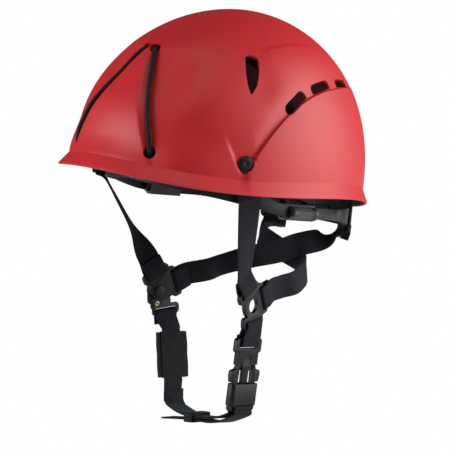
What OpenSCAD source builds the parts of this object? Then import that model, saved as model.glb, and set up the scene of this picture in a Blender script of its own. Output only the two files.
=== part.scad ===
// Climbing helmet. A moulded shell with vents and a flared rim carries a webbing cradle,
// a headband that adjusts at the nape, and a chin strap with a side-release buckle on the
// left and a spring-wire breakaway with a fabric cover on the right.
// +Z is up as worn, -Y is the front and +X is the wearer's left.
// The origin is the centre of the shell's base ring, which is the middle of the head space.

/* [Shell] */
// Half the width of the shell at its base ring
shell_a = 105; // [101:1:109]
// Half the length of the shell at its base ring
shell_b = 136; // [132:1:141]
// Height of the crown above the base ring
shell_h = 138; // [134:1:144]
// Wall of the shell
wall = 3; // [2.4:0.1:3.6]
// How far the crown lies behind the middle of the base ring
crown_back = 7; // [4:1:10]
// Height of the flared rim band
rim_h = 11; // [9:1:13]
// How far the rim band flares out at the sides
rim_out = 6.5; // [5:0.25:8]
// Tilt of the base ring, with the front up
pitch = 11; // [8:1:14]
// Height of the raised front panel over the shell
panel_rise = 2.6; // [1.6:0.2:3.4]
// Height of the raised rear side panel over the shell
step_rise = 1.6; // [1:0.2:2.4]
// Diameter of the elastic lamp cords
cord_d = 4; // [3:0.5:5]

/* [Cradle] */
// Room between the headband and the shell's side
band_room = 21; // [19:0.5:23]
// Room between the headband and the shell's brow
brow_room = 34; // [31:1:37]
// Wall of the headband and the nape band
band_t = 1.8; // [1.4:0.1:2.2]
// Height of the headband at the brow
band_h = 18; // [15:1:21]
// Room between the nape band and the rear of the shell
nape_room = 18; // [17:1:21]
// Clear height of the crown straps' crossing over the base ring
crown_z = 98; // [92:1:102]
// Width of the cradle webbing
cradle_w = 16; // [13:1:17]
// Thickness of the brow pad
pad_t = 5; // [3:0.5:7]
// Length of the size adjusters
adj_l = 30; // [26:1:32]
// Height of the size adjusters
adj_h = 13; // [11:1:15]

/* [Chin strap] */
// Width of the chin strap webbing
strap_w = 20; // [18:0.5:21]
// Thickness of the webbing
strap_t = 1.4; // [1.1:0.1:1.7]
// Drop of the strap junctions below the origin
yoke_drop = 102; // [97:1:107]
// Distance of the strap junctions from the middle plane
yoke_out = 49; // [47:1:52]
// Thickness of the plastic junction rings
yoke_t = 3.6; // [3:0.2:4.2]
// Diameter of the breakaway's domed knob
knob_d = 15; // [13:0.5:16]
// Length of the fabric cover
cover_l = 40; // [34:1:44]
// Diameter of the breakaway's spring wire
wire_d = 1.1; // [0.9:0.1:1.3]

/* [Buckle] */
// Width of the side-release buckle
buckle_w = 30; // [28.5:0.5:32]
// Thickness of the female half
buckle_t = 9; // [8.4:0.2:10]
// Length of the female half
female_l = 23; // [22:1:26]
// Length of the male half above the mouth
male_l = 38; // [36:1:42]

/* [Hidden] */

red = [0.72, 0.13, 0.16];
black = [0.07, 0.08, 0.10];
webbing = [0.10, 0.12, 0.15];
grey = [0.35, 0.36, 0.38];
cream = [0.86, 0.82, 0.70];

// ---- Small helpers -------------------------------------------------------------------

function unit(v) = v / norm(v);
function lerp(a, b, u) = a * (1 - u) + b * u;
function ease(e0, e1, v) = let (s = min(1, max(0, (v - e0) / (e1 - e0)))) s * s * (3 - 2 * s);
function spread(v, w) = exp(-(v / w) * (v / w));
// A point of the tilted shell frame, in the upright frame
function tip(p) = [p[0], p[1] * cos(pitch) + p[2] * sin(pitch), -p[1] * sin(pitch) + p[2] * cos(pitch)];
// One point of a smooth curve through four points
function curve4(a, b, c, d, u) = 0.5 * (2 * b + (c - a) * u + (2 * a - 5 * b + 4 * c - d) * u * u
    + (3 * b - a - 3 * c + d) * u * u * u);
// Points of a smooth curve through a list, with n steps from point to point
function through(pts, n) = let (m = len(pts) - 1) concat(
    [for (i = [0 : m - 1], k = [0 : n - 1])
        curve4(pts[max(i - 1, 0)], pts[i], pts[i + 1], pts[min(i + 2, m)], k / n)],
    [pts[m]]);

module tilted() rotate([-pitch, 0, 0]) children();

// Puts its children with their x, y and z along three given directions
module framed(at, x, y, z) multmatrix([
    [x[0], y[0], z[0], at[0]], [x[1], y[1], z[1], at[1]], [x[2], y[2], z[2], at[2]], [0, 0, 0, 1]])
    children();

// A flat plate with round corners, in the x-y plane and centred
module round_plate(w, h, t, r) linear_extrude(t, center = true) {
    square([w - 2 * r, h], center = true);
    square([w, h - 2 * r], center = true);
    for (x = [-1, 1], y = [-1, 1]) translate([x * (w / 2 - r), y * (h / 2 - r)]) circle(r, $fn = 32);
}

// A ring stack: rings of equal length, closed into a tube with flat ends. Opposite faces of
// a four-sided ring are split along the same diagonal, so that a twisted strap keeps its wall.
module ring_stack(rings) {
    n = len(rings[0]);
    m = len(rings);
    polyhedron(
        points = [for (r = rings, p = r) p],
        faces = concat(
            [for (j = [0 : m - 2], i = [0 : n - 1])
                let (a = j * n + i, b = j * n + (i + 1) % n, c = b + n, d = a + n, turned = n == 4 && i > 1)
                each turned ? [[a, b, d], [b, c, d]] : [[a, b, c], [a, c, d]]],
            [[for (i = [n - 1 : -1 : 0]) i]],
            [[for (i = [0 : n - 1]) (m - 1) * n + i]]),
        convexity = 8);
}

// Directions along a list of points
function heading(pts, i) = unit(pts[min(i + 1, len(pts) - 1)] - pts[max(i - 1, 0)]);

// A flat strap through stations of [point, direction of its width]
module strap(stations, w, n = 3) {
    mid = through([for (s = stations) s[0]], n);
    wide = through([for (s = stations) s[1]], n);
    ring_stack([for (i = [0 : len(mid) - 1])
        let (d = heading(mid, i),
            a = unit(wide[i] - d * (wide[i] * d)),
            b = cross(d, a))
        [for (c = [[-1, -1], [-1, 1], [1, 1], [1, -1]])
            mid[i] + a * (c[0] * w / 2) + b * (c[1] * strap_t / 2)]]);
}

// A round cord or wire through a list of points
module cord(pts, d, sides = 8) {
    up = unit([0.31, 0.24, 0.92]);
    ring_stack([for (i = [0 : len(pts) - 1])
        let (h = heading(pts, i), a = unit(cross(up, h)), b = cross(h, a))
        [for (k = [0 : sides - 1])
            pts[i] + (a * cos(-k * 360 / sides) + b * sin(-k * 360 / sides)) * d / 2]]);
}

// ---- Shell form ----------------------------------------------------------------------
// Angles run round the head: 0 at the brow, 90 at the left ear and 180 at the nape.

dome_p = 1.95;
dome_q = 2.2;
rim_wave = [3.7, -2.6, 3.3];
rim_top = 2.5;

function dome_r(z) = pow(1 - pow(max(z, 0) / shell_h, dome_q), 1 / dome_p);
function plain_pt(t, z) = let (r = dome_r(z)) [shell_a * r * sin(t),
    -shell_b * r * cos(t) + crown_back * pow(max(z, 0) / shell_h, 2), z];
function dome_n(t, z) = let (p = plain_pt(t, z), s = max(z, 0) / shell_h)
    unit([p[0] / shell_a / shell_a, (p[1] - crown_back * s * s) / shell_b / shell_b,
        dome_q / 2 * pow(s, dome_q - 1) / shell_h]);
// The brow is fuller than the plain dome, low down and at half height
function brow(t, z) = ease(60, 38, abs(t > 180 ? t - 360 : t))
    * (1.6 * spread(z - 62, 34) + 3.4 * ease(34, 6, z));
function dome_pt(t, z) = plain_pt(t, z) + dome_n(t, z) * brow(t, z);
function rim_z(t) = rim_wave[0] * cos(t) + rim_wave[1] * cos(2 * t) + rim_wave[2] * cos(3 * t);

// Places its children on the shell: x runs rearward round the head, y up and z outward
module on_shell(t, z, sink = 0) {
    n = dome_n(t, z);
    x = unit(cross([0, 0, 1], n));
    framed(dome_pt(t, z) - n * sink, x, cross(n, x), n) children();
}

panel_top = 100;
panel_foot = 41;
rivet_t = 61;
rivet_z = 15.4;
step_top = 85;

// Half the width of the front panel at a height
function panel_half(z) = panel_foot * pow(max(0, 1 - max(z, 0) / panel_top), 0.72);
// Half the spacing of the lamp cords at a height
cord_top_z = 96;
cord_foot_z = 14.7;
cord_gap = 4.4;
function cord_half(z) = let (u = (z - cord_foot_z) / (cord_top_z - cord_foot_z))
    panel_half(z) + cord_gap + 3 * sin(180 * min(1, max(0, u)));
// Height of the step line over the rear side panel
function step_z(t) = let (u = max(0, (t - rivet_t) / (180 - rivet_t)))
    5 + (step_top - 5) * (1 - exp(-7.4 * u)) / (1 - exp(-7.4));
// Height of the soft ridge above the vents
function ridge_z(t) = 114 - 0.0085 * (t - 98) * (t - 98);
// The front edge of the notch at the rivet
function notch_t(z) = rivet_t - 0.8 - 8.2 * pow(max(0, z - 7) / 28, 0.9);

// How far the outside stands off the dome
function relief(t, z) = let (s = abs(t), side = abs(plain_pt(t, z)[0]), over = z - step_z(s),
        low = z - ridge_z(s),
        front = s < 90 ? 1 : 0,
        rear = ease(rivet_t - 1, rivet_t + 3, s) * ease(142, 120, s),
        panel = front * (1 - ease(-2, 2, side - panel_half(z))) * ease(panel_top + 2, panel_top - 10, z),
        slot = front * spread(side - cord_half(z), 3.4) * ease(8, 18, z) * ease(100, 90, z),
        step = rear * (1 - ease(-1, 1, over)),
        ridge = ease(60, 70, s) * ease(140, 120, s) * (1 - ease(-1, 1, low)) * spread(min(0, low), 25),
        under = rear * ease(-1, 1, over) * spread(max(0, over), 14),
        notch = ease(-0.6, 0.6, s - notch_t(z)) * ease(-1, 1, over) * ease(40, 12, z) * ease(5.5, 8.5, z),
        dish = spread(s - rivet_t - 4, 7) * spread(z - 78, 15))
    panel_rise * panel + step_rise * step + ridge - max(1.4 * under, 2.2 * notch) - 1.6 * dish
        - 1.8 * slot;

// Rows of the skin from the rim up; two of them hug the step line and keep it sharp
ring_n = 108;
rows_out = 26;
rows_in = 9;
step_row = 11;
function height_at(t, u) = let (z0 = rim_z(t) + rim_top)
    z0 + (shell_h - z0) * pow(sin(88 * u), 2 / dome_q);
function share_at(t, z) = let (z0 = rim_z(t) + rim_top)
    asin(pow((z - z0) / (shell_h - z0), dome_q / 2)) / 88;
function row_z(s, j) = let (line = step_z(max(70, abs(s))), at = share_at(s, line))
    j == step_row ? line - 1 : j == step_row + 1 ? line + 1 : j < step_row ? height_at(s, at * j / step_row)
        : height_at(s, at + (1 - at) * (j - step_row) / (rows_out - step_row));
function outer_ring(j) = [for (i = [0 : ring_n - 1])
    let (t = i * 360 / ring_n, s = t > 180 ? t - 360 : t, z = row_z(s, j))
    dome_pt(t, z) + dome_n(t, z) * relief(s, z)];
function inner_ring(j) = [for (i = [0 : ring_n - 1])
    let (t = i * 360 / ring_n, z = height_at(t, j / rows_in)) dome_pt(t, z) - dome_n(t, z) * wall];
// The rim band flares straight from the crease to a sharp lower edge, most at the brow
function rim_ring(share, gap, dz) = [for (i = [0 : ring_n - 1]) let (t = i * 360 / ring_n)
    dome_pt(t, 0) + dome_n(t, 0) * ((rim_out + 1.7 * cos(t)) * share - gap)
        + [0, 0, rim_z(t) + rim_top - rim_h + dz]];

module shell_body() {
    rings = concat(
        [for (j = [rows_in : -1 : 0]) inner_ring(j)],
        [rim_ring(0.5, wall, rim_h / 2), rim_ring(1, 2.6, 0.6), rim_ring(1, 1.2, 0), rim_ring(1, 0, 1)],
        [for (j = [0 : rows_out]) outer_ring(j)]);
    ring_stack([for (r = rings) [for (i = [ring_n - 1 : -1 : 0]) r[i]]]);
}

// A teardrop vent, round end up
module drop_vent() linear_extrude(24, center = true) polygon(concat(
    [for (a = [0 : 15 : 180]) [5.9 * cos(a), 11.1 + 5.9 * sin(a)]],
    [[-5.2, 1.6], [-3.7, -7.5], [-2.2, -13.9], [-0.9, -17.2], [0.4, -17.2], [2.5, -13.9],
        [4.4, -7.5], [5.9, 1.6]]));

// An arched vent that stands on the step line
module arch_vent(w, h) linear_extrude(26, center = true) polygon(concat(
    [for (s = [1, -1], k = [0 : 6]) let (a = (s > 0 ? -30 : 90) + 20 * k)
        [s * (w / 2 - h * 0.62) + h * 0.6 * cos(a), h * 0.4 + h * 0.6 * sin(a)]],
    [[1 - w / 2, 0], [w / 2 - 1, 0]]));

arch_vents = [[81, 25, 11, 33], [97, 26, 9, 17], [117, 24, 7, 3]];
module vents(side) mirror([side < 0 ? 1 : 0, 0, 0]) {
    on_shell(60.5, 84) drop_vent();
    for (v = arch_vents) on_shell(v[0], step_z(v[0]) + 2.5) rotate([0, 0, v[3]]) arch_vent(v[1], v[2]);
}

// Where the clips sit round the shell
clip_t = [42, 88, 131];
clip_z = 20;
clip_w = 22;
tongue_t = 2.2;
frame_t = 2.2;
clear = 0.3;
clip_sink = wall + 4.1;

// A moulded socket that takes a clip's tongue from below
module socket() translate([0, 4.7, -clip_sink]) difference() {
    translate([0, 0, 1.2]) cube([clip_w + 5, 15.4, 7.8], center = true);
    translate([0, -2.7, 0]) cube([clip_w - 3 + 2 * clear, 16, tongue_t + 2 * clear], center = true);
}

module shell() color(red) tilted() {
    difference() {
        union() {
            shell_body();
            for (s = [-1, 1], t = clip_t) on_shell(s * t, clip_z) socket();
            for (s = [-1, 1], p = [[rivet_t, rivet_z], [rear_t, rear_z]]) on_shell(s * p[0], p[1])
                translate([0, 0, -wall - anchor_gap + 0.1]) cylinder(d = 13, h = anchor_gap + 1, $fn = 32);
        }
        vents(1);
        vents(-1);
        for (s = [-1, 1]) {
            for (p = [[rivet_t, rivet_z], [rear_t, rear_z]]) on_shell(s * p[0], p[1]) {
                cylinder(d = rivet_shank + 2 * clear, h = 20, center = true, $fn = 32);
                translate([0, 0, -rivet_sink]) cylinder(d = rivet_head + 2 * clear, h = 8, $fn = 32);
            }
            for (z = [cord_top_z, cord_foot_z])
                translate([s * cord_half(z), 0, 0]) cord_hole(z, s);
        }
    }
}

// ---- Rivets, anchors and clips -------------------------------------------------------

rivet_shank = 5;
rivet_head = 12;
rivet_sink = 1.6;
anchor_t = 2.4;
anchor_gap = 3.4;
anchor_w = strap_w + 8;
front_drop = 12;
// The front anchors turn on their rivets until they line up with the straps
front_turn = 22;
rear_drop = 38;
rear_t = 155;
rear_z = 8;
strap_slot = strap_t + 1.8;
behind = wall + anchor_gap + anchor_t;

// The angle round the shell of a point at a height and a distance from the middle
function t_at(z, x) = asin(x / (shell_a * dome_r(z)));
function cord_t(z) = t_at(z, cord_half(z));
module cord_hole(z, s) translate([-s * cord_half(z), 0, 0]) on_shell(s * cord_t(z), z)
{
    cylinder(d = cord_d + 4.2, h = 16, center = true, $fn = 32);
    translate([0, 0, -2.2]) cylinder(d = cord_d + 5.8, h = 8, $fn = 32);
}

// grip is what the rivet clamps besides the anchor
module rivet(t, z, grip = 0) color(black) tilted() on_shell(t, z) {
    translate([0, 0, -rivet_sink]) rotate_extrude($fn = 48) polygon([[0, 0], [rivet_head / 2, 0],
        [rivet_head / 2, 1.2], [rivet_head / 2 - 0.9, 2.1], [2.2, 2.5], [2.0, 2.1], [0, 2.1]]);
    translate([0, 0, -behind - grip - 1.5])
        cylinder(d = rivet_shank, h = behind + grip + 1.5 - rivet_sink, $fn = 48);
    translate([0, 0, -behind - grip - 1.5]) cylinder(d = rivet_shank + 4, h = 1.3, $fn = 48);
}
arm_t = 1.8;
module rivet_left() rivet(rivet_t, rivet_z, arm_t);
module rivet_right() rivet(-rivet_t, rivet_z, arm_t);
module rear_rivet_left() rivet(rear_t, rear_z);
module rear_rivet_right() rivet(-rear_t, rear_z);

// A plate behind the shell that a strap loops through
module anchor(t, z, drop, turn = 0) color(black) tilted() on_shell(t, z) rotate([0, 0, turn])
    translate([0, 0, -behind + anchor_t / 2]) difference() {
        translate([0, -drop / 2, 0]) round_plate(anchor_w, drop + 14, anchor_t, 4);
        cylinder(d = rivet_shank + 0.1, h = 10, center = true, $fn = 48);
        translate([0, -drop, 0]) cube([strap_w + 1.4, strap_slot, 10], center = true);
    }
module strap_anchor_left() anchor(rivet_t, rivet_z, front_drop, front_turn);
module strap_anchor_right() anchor(-rivet_t, rivet_z, front_drop, -front_turn);
module rear_anchor_left() anchor(rear_t, rear_z, rear_drop);
module rear_anchor_right() anchor(-rear_t, rear_z, rear_drop);

// A clip: a tongue for the shell's socket over a frame that the webbing loops through
module clip(t) color(black) tilted() on_shell(t, clip_z) translate([0, 0, -clip_sink]) difference() {
    union() {
        translate([0, 3, 0]) cube([clip_w - 3, 13, tongue_t], center = true);
        translate([0, -9, 0]) round_plate(clip_w + 3, 11, frame_t, 2.5);
    }
    translate([0, -9, 0]) cube([cradle_w + 1.6, 3.6, 8], center = true);
    translate([0, 4, 0]) cylinder(d = 4, h = 8, center = true, $fn = 32);
}
module front_clip_left() clip(clip_t[0]);
module front_clip_right() clip(-clip_t[0]);
module side_clip_left() clip(clip_t[1]);
module side_clip_right() clip(-clip_t[1]);
module rear_clip_left() clip(clip_t[2]);
module rear_clip_right() clip(-clip_t[2]);

// ---- Crown straps --------------------------------------------------------------------

// A point of a clip's own frame, in the shell frame
function clip_pt(t, p) = let (n = dome_n(t, clip_z), x = unit(cross([0, 0, 1], n)), y = cross(n, x))
    dome_pt(t, clip_z) - n * clip_sink + x * p[0] + y * p[1] + n * p[2];
function clip_x(t) = unit(cross([0, 0, 1], dome_n(t, clip_z)));
loop_in = frame_t / 2 + strap_t / 2 + clear;

// Half of a crown strap, from its sewn end at the clip up to the crown
function half_strap(t, s, lift) = let (x = clip_x(t) * s, top = clip_pt(t, [0, 0, -loop_in - 5]))
    concat([for (p = clip_loop) [clip_pt(t, [0, p[0], p[1]]), x]], [
        [[top[0] * 0.86, top[1] * 0.86, 46], x], [[top[0] * 0.66, top[1] * 0.66, 74], x],
        [[top[0] * 0.36, top[1] * 0.36, crown_z + lift - 6], x]]);
clip_loop = [[9, -3.9], [-1, -3.9], [-5, -2.7], [-7.6, -2.1], [-8.8, -1], [-9.1, 0.4], [-9.4, 1.6],
    [-10.9, loop_in], [-13.4, loop_in], [-15.7, 1.4], [-16.3, 0], [-15.9, -2], [-12.8, -4.4],
    [-6, -5.6], [8, -5.9]];
function backwards(s) = [for (i = [len(s) - 1 : -1 : 0]) s[i]];
module crown_strap(ta, tb, lift) color(webbing) tilted()
    strap(concat(half_strap(ta, 1, lift), [[[0, 0, crown_z + lift], clip_x(ta)]],
        backwards(half_strap(tb, -1, lift))), cradle_w, 2);
module crown_strap_cross() crown_strap(clip_t[1], -clip_t[1], 0);
module crown_strap_diagonal_a() crown_strap(clip_t[0], -clip_t[2], strap_t + 2 * clear);
module crown_strap_diagonal_b() crown_strap(-clip_t[0], clip_t[2], 2 * (strap_t + clear) + 1.2);

// The stitched disc that holds the straps together where they cross
module crown_patch() color(black) tilted()
    translate([0, 0, crown_z + 2.5 * (strap_t + clear) + 1.3]) cylinder(d = 34, h = 1.6, $fn = 48);

// ---- Headband and nape band ----------------------------------------------------------

band_a = shell_a - band_room;
band_front = shell_b - brow_room;
nape_rear = shell_b - nape_room;
adj_z = -20.5;
adj_y = 13;
band_low_a = [[0, -9], [30, -12], [60, -16.5], [80, -23], [90, -25]];
function pick(t) = let (i = max([for (j = [0 : 3]) t >= band_low_a[j][0] ? j : 0]))
    lerp(band_low_a[i][1], band_low_a[i + 1][1],
        (t - band_low_a[i][0]) / (band_low_a[i + 1][0] - band_low_a[i][0]));
function tail_h(t) = lerp(band_h, 9, ease(62, 84, t));
function band_pt(t, out) = [(band_a + out) * sin(t), 2 - (band_front + 2 + out) * cos(t), 0];
module headband() color(black) tilted() {
    ring_stack([for (t = [88 : -4 : -88]) let (lo = pick(abs(t)), hi = lo + tail_h(abs(t)))
        [band_pt(t, -band_t / 2) + [0, 0, lo], band_pt(t, -band_t / 2) + [0, 0, hi],
            band_pt(t, band_t / 2) + [0, 0, hi], band_pt(t, band_t / 2) + [0, 0, lo]]]);
    for (s = [-1, 1]) band_arm(s);
}
// The band's arm, riveted with the strap anchor: along the wall, and height over the skin
arm_w = 12;
arm_at = 56;
arm_out = -behind - 0.1;
arm_shelf = -rivet_shank / 2 - 2.4;
arm_foot = let (n = dome_n(rivet_t, rivet_z), x = unit(cross([0, 0, 1], n)),
        q = band_pt(arm_at, 0) + [0, 0, pick(arm_at) + band_h] - dome_pt(rivet_t, rivet_z))
    [q * cross(n, x), q * n];
module band_arm(s) mirror([s < 0 ? 1 : 0, 0, 0]) on_shell(rivet_t, rivet_z) difference() {
    rotate([90, 0, 90]) linear_extrude(arm_w, center = true) polygon([
        [6.5, arm_out], [6.5, arm_out - arm_t], [arm_shelf, arm_out - arm_t],
        [arm_shelf, arm_foot[1] + 4], [arm_foot[0] + 3.4, arm_foot[1] + 0.6],
        [arm_foot[0] - 0.5, arm_foot[1] - 0.5], [arm_foot[0] - 5, arm_foot[1] - 0.7],
        [arm_foot[0] - 5, arm_foot[1] + 1], [arm_foot[0] - 0.8, arm_foot[1] + 1.4],
        [arm_foot[0] + 2.6, arm_foot[1] + 2.6], [arm_shelf - arm_t, arm_foot[1] + 4.6],
        [arm_shelf - arm_t, arm_out]]);
    translate([0, 0, arm_out]) cylinder(d = rivet_shank + 0.1, h = 3 * arm_t, center = true, $fn = 48);
}
module brow_pad() color(webbing) tilted()
    ring_stack([for (t = [48 : -4 : -48]) let (lo = pick(abs(t)) + 1.5,
            k = ease(50, 40, abs(t)) * 0.7 + 0.3, far = -band_t / 2 - clear)
        [band_pt(t, far) + [0, 0, lo], band_pt(t, far - pad_t * k) + [0, 0, lo + 3],
            band_pt(t, far - pad_t * k) + [0, 0, lo + band_h - 6],
            band_pt(t, far) + [0, 0, lo + band_h - 3]]]);

tongue_x = band_a - 4.9;
nape_mid = 50;
tongue_front = -8;
// Points of the nape band, from the left tongue's end round the nape to the right one
nape_turn = 8;
function nape_xy(k) = abs(k) > nape_turn
    ? [sign(k) * tongue_x, nape_mid - (abs(k) - nape_turn) * (nape_mid - tongue_front) / 5]
    : let (s = 90 * (1 - abs(k) / nape_turn)) [sign(k) * tongue_x * pow(cos(s), 0.9),
        nape_mid + (nape_rear - nape_mid) * pow(sin(s), 0.95)];
function nape_h(k) = 9 + 10 * ease(nape_turn, 2, abs(k));
function nape_c(k) = adj_z - 1.5 * ease(nape_turn, 3, abs(k));
nape_k = [for (k = [-13 : 0.5 : 13]) k];
nape_line = [for (k = nape_k) let (q = nape_xy(k)) [q[0], q[1], nape_c(k)]];
module nape_band() color(black) tilted() difference() {
    ring_stack([for (i = [0 : len(nape_line) - 1])
        let (d = heading(nape_line, i), n = unit([d[1], -d[0], 0]), h = nape_h(nape_k[i]) / 2)
        [for (c = [[1, -1], [1, 1], [-1, 1], [-1, -1]])
            nape_line[i] + n * (c[0] * band_t / 2) + [0, 0, c[1] * h]]]);
    for (s = [-1, 1], i = [0 : 7]) translate([s * tongue_x, -4 + i * 4.2, adj_z])
        cube([6, 1.8, 4], center = true);
}
// The soft pad on the inside of the nape band
module nape_pad() color(webbing) tilted() {
    pts = [for (k = [-3 : 0.5 : 3]) let (q = nape_xy(k)) [q[0], q[1], nape_c(k)]];
    ring_stack([for (i = [0 : len(pts) - 1])
        let (d = heading(pts, i), n = unit([-d[1], d[0], 0]),
            e = abs(i - (len(pts) - 1) / 2) / ((len(pts) - 1) / 2), deep = 4 * (1 - 0.6 * e * e))
        [pts[i] - n * (band_t / 2 + clear + deep) + [0, 0, -5],
            pts[i] - n * (band_t / 2 + clear + deep) + [0, 0, 5],
            pts[i] - n * (band_t / 2 + clear) + [0, 0, 7],
            pts[i] - n * (band_t / 2 + clear) + [0, 0, -7]]]);
}

// Size adjuster: a housing on the headband's end with a thumb roller
wheel_d = 10;
wheel_l = 20;
wheel_out = tongue_x + band_t / 2 + clear + wheel_d / 2;
module size_adjuster(s) color(grey) tilted() mirror([s < 0 ? 1 : 0, 0, 0])
    translate([0, adj_y, adj_z]) difference() {
        union() {
            translate([tongue_x, 0, 0]) cube([5, adj_l + 6, adj_h], center = true);
            for (y = [-1, 1]) translate([wheel_out, y * (wheel_l / 2 + 2.4), 0]) rotate([90, 0, 0])
                cylinder(d = adj_h - 2, h = 3.6, center = true, $fn = 40);
        }
        translate([tongue_x, 0, 0]) cube([band_t + 2 * clear, 80, 9 + 2 * clear], center = true);
        translate([wheel_out, 0, 0]) rotate([90, 0, 0])
            cylinder(d = wheel_d + 2 * clear, h = wheel_l + 2 * clear, center = true, $fn = 40);
        translate([wheel_out, 0, 0]) rotate([90, 0, 0])
            cylinder(d = 3 + 2 * clear, h = wheel_l + 12, center = true, $fn = 24);
        translate([band_a, -adj_l / 2 - 4, 0]) cube([band_t + 2 * clear, 10, 9 + 2 * clear], center = true);
    }
module size_adjuster_left() size_adjuster(1);
module size_adjuster_right() size_adjuster(-1);
module thumb_roller(s) color(grey) tilted() mirror([s < 0 ? 1 : 0, 0, 0])
    translate([wheel_out, adj_y, adj_z]) rotate([90, 0, 0]) {
        difference() {
            cylinder(d = wheel_d, h = wheel_l, center = true, $fn = 48);
            for (a = [0 : 15 : 345]) rotate(a) translate([wheel_d / 2 + 0.15, 0, 0])
                cylinder(d = 0.9, h = wheel_l - 3, center = true, $fn = 13);
        }
        cylinder(d = 3, h = wheel_l + 6.4, center = true, $fn = 24);
    }
module thumb_roller_left() thumb_roller(1);
module thumb_roller_right() thumb_roller(-1);

// ---- Lamp cords ----------------------------------------------------------------------

function on_pt(t, z, out) = dome_pt(t, z) + dome_n(t, z) * out;
module lamp_cord(s) color(black) tilted() cord(through(concat(
    [for (o = [-wall - 5, -wall - 2, -1.5]) on_pt(s * cord_t(cord_top_z), cord_top_z, o)],
    [for (z = [92, 76, 61, 46, 31, 22]) on_pt(s * cord_t(z), z, cord_out)],
    [for (o = [0.8, -1.5, -wall - 2, -wall - 5]) on_pt(s * cord_t(cord_foot_z), cord_foot_z, o)]),
    3), cord_d, 10);
cord_out = cord_d / 2 - 0.5;
module lamp_cord_left() lamp_cord(1);
module lamp_cord_right() lamp_cord(-1);
// Beads behind the shell that stop the cords from pulling out
module cord_stoppers() color(black) tilted() for (s = [-1, 1], z = [cord_top_z, cord_foot_z])
    on_shell(s * cord_t(z), z) translate([0, 0, -wall - 3]) difference() {
        cylinder(d = cord_d + 5, h = 3, center = true, $fn = 32);
        cylinder(d = cord_d + 0.2, h = 4, center = true, $fn = 32);
    }
// Grommets that line the cord holes
module cord_grommets() color(black) tilted() for (s = [-1, 1], z = [cord_top_z, cord_foot_z])
    on_shell(s * cord_t(z), z) difference() {
        union() {
            translate([0, 0, -2.1]) cylinder(d = cord_d + 5.2, h = 0.7, $fn = 40);
            translate([0, 0, -wall - 0.6]) cylinder(d = cord_d + 3.6, h = wall - 0.8, $fn = 40);
        }
        cylinder(d = cord_d + 2.6, h = 12, center = true, $fn = 40);
    }

// ---- Chin strap ----------------------------------------------------------------------

// A point of an anchor's frame, in the upright frame
function anchor_pt(t, z, p, turn = 0) = let (n = dome_n(t, z), x = unit(cross([0, 0, 1], n)), y = cross(n, x))
    tip(dome_pt(t, z) + n * (p[1] - behind + anchor_t / 2) + (y * cos(turn) - x * sin(turn)) * p[0]);
function anchor_x(t, z, turn = 0) = let (n = dome_n(t, z), x = unit(cross([0, 0, 1], n)))
    tip(x * cos(turn) + cross(n, x) * sin(turn));
// A strap's end, looped round a bar: [distance along, height over the plate]
off_bar = anchor_t / 2 + strap_t / 2 + clear + 0.15;
anchor_loop = [[-27, 1.2], [-20.2, off_bar - 0.1], [-15.6, off_bar], [-13.3, off_bar + 0.2],
    [-12, anchor_t / 2], [-12, -anchor_t / 2], [-13.3, -off_bar - 0.2], [-15.6, -off_bar],
    [-20.2, -off_bar + 0.1], [-27, -1.2]];
ear_r = 13;
ear_off = yoke_t / 2 + strap_t / 2 + clear;
ear_loop = [[16, 1.2], [7.4, ear_off - 0.1], [3.6, ear_off], [1.4, ear_off + 0.2],
    [0, yoke_t / 2], [0, -yoke_t / 2], [1.4, -ear_off - 0.2], [3.6, -ear_off],
    [7.4, -ear_off + 0.1], [15, -1.2]];

// The junction of the front, rear and chin straps, on each side
yoke_n = unit([0.97, 0.16, 0]);
yoke_x = unit(cross([0, 0, 1], yoke_n));
yoke_left_at = [yoke_out, -12.5, -yoke_drop];
yoke_right_at = [yoke_out + 6, -18, -yoke_drop - 1];
ear_a = [-24, 74, 180];
// A point of an ear's frame: along the ear, and height over the plate
function ear_pt(at, a, p) = at + (yoke_x * sin(a) + [0, 0, 1] * cos(a)) * (ear_r + p[0]) + yoke_n * p[1];
function ear_x(a) = yoke_x * cos(a) - [0, 0, 1] * sin(a);
function mirrored(s) = [for (p = s) [[-p[0][0], p[0][1], p[0][2]], [-p[1][0], p[1][1], p[1][2]]]];

module ear_slot(a) rotate(-a) translate([0, ear_r, 0]) cube([strap_w + 1.4, strap_slot, 12], center = true);
ear_w = strap_w + 7;
ear_h = 9.4;
module yoke_plate(ears) difference() {
    linear_extrude(yoke_t, center = true) {
        for (a = ears) rotate(-a) translate([0, ear_r]) {
            square([ear_w - 6, ear_h], center = true);
            square([ear_w, ear_h - 6], center = true);
            for (x = [-1, 1], y = [-1, 1]) translate([x * (ear_w / 2 - 3), y * (ear_h / 2 - 3)])
                circle(3, $fn = 32);
        }
        translate([1, 1]) circle(12.7, $fn = 48);
    }
    for (a = ears) ear_slot(a);
}
module yoke_ring_left() color(black) framed(yoke_left_at, yoke_x, [0, 0, 1], yoke_n)
    difference() {
        yoke_plate(ear_a);
        cylinder(d = 12, h = 20, center = true, $fn = 48);
    }
module right_side() mirror([1, 0, 0]) framed(yoke_right_at, yoke_x, [0, 0, 1], yoke_n) children();
module yoke_ring_right() color(black) right_side() difference() {
    yoke_plate([ear_a[0], ear_a[1]]);
    translate(post) cylinder(d = post_d + 0.1, h = 20, center = true, $fn = 48);
}

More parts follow.
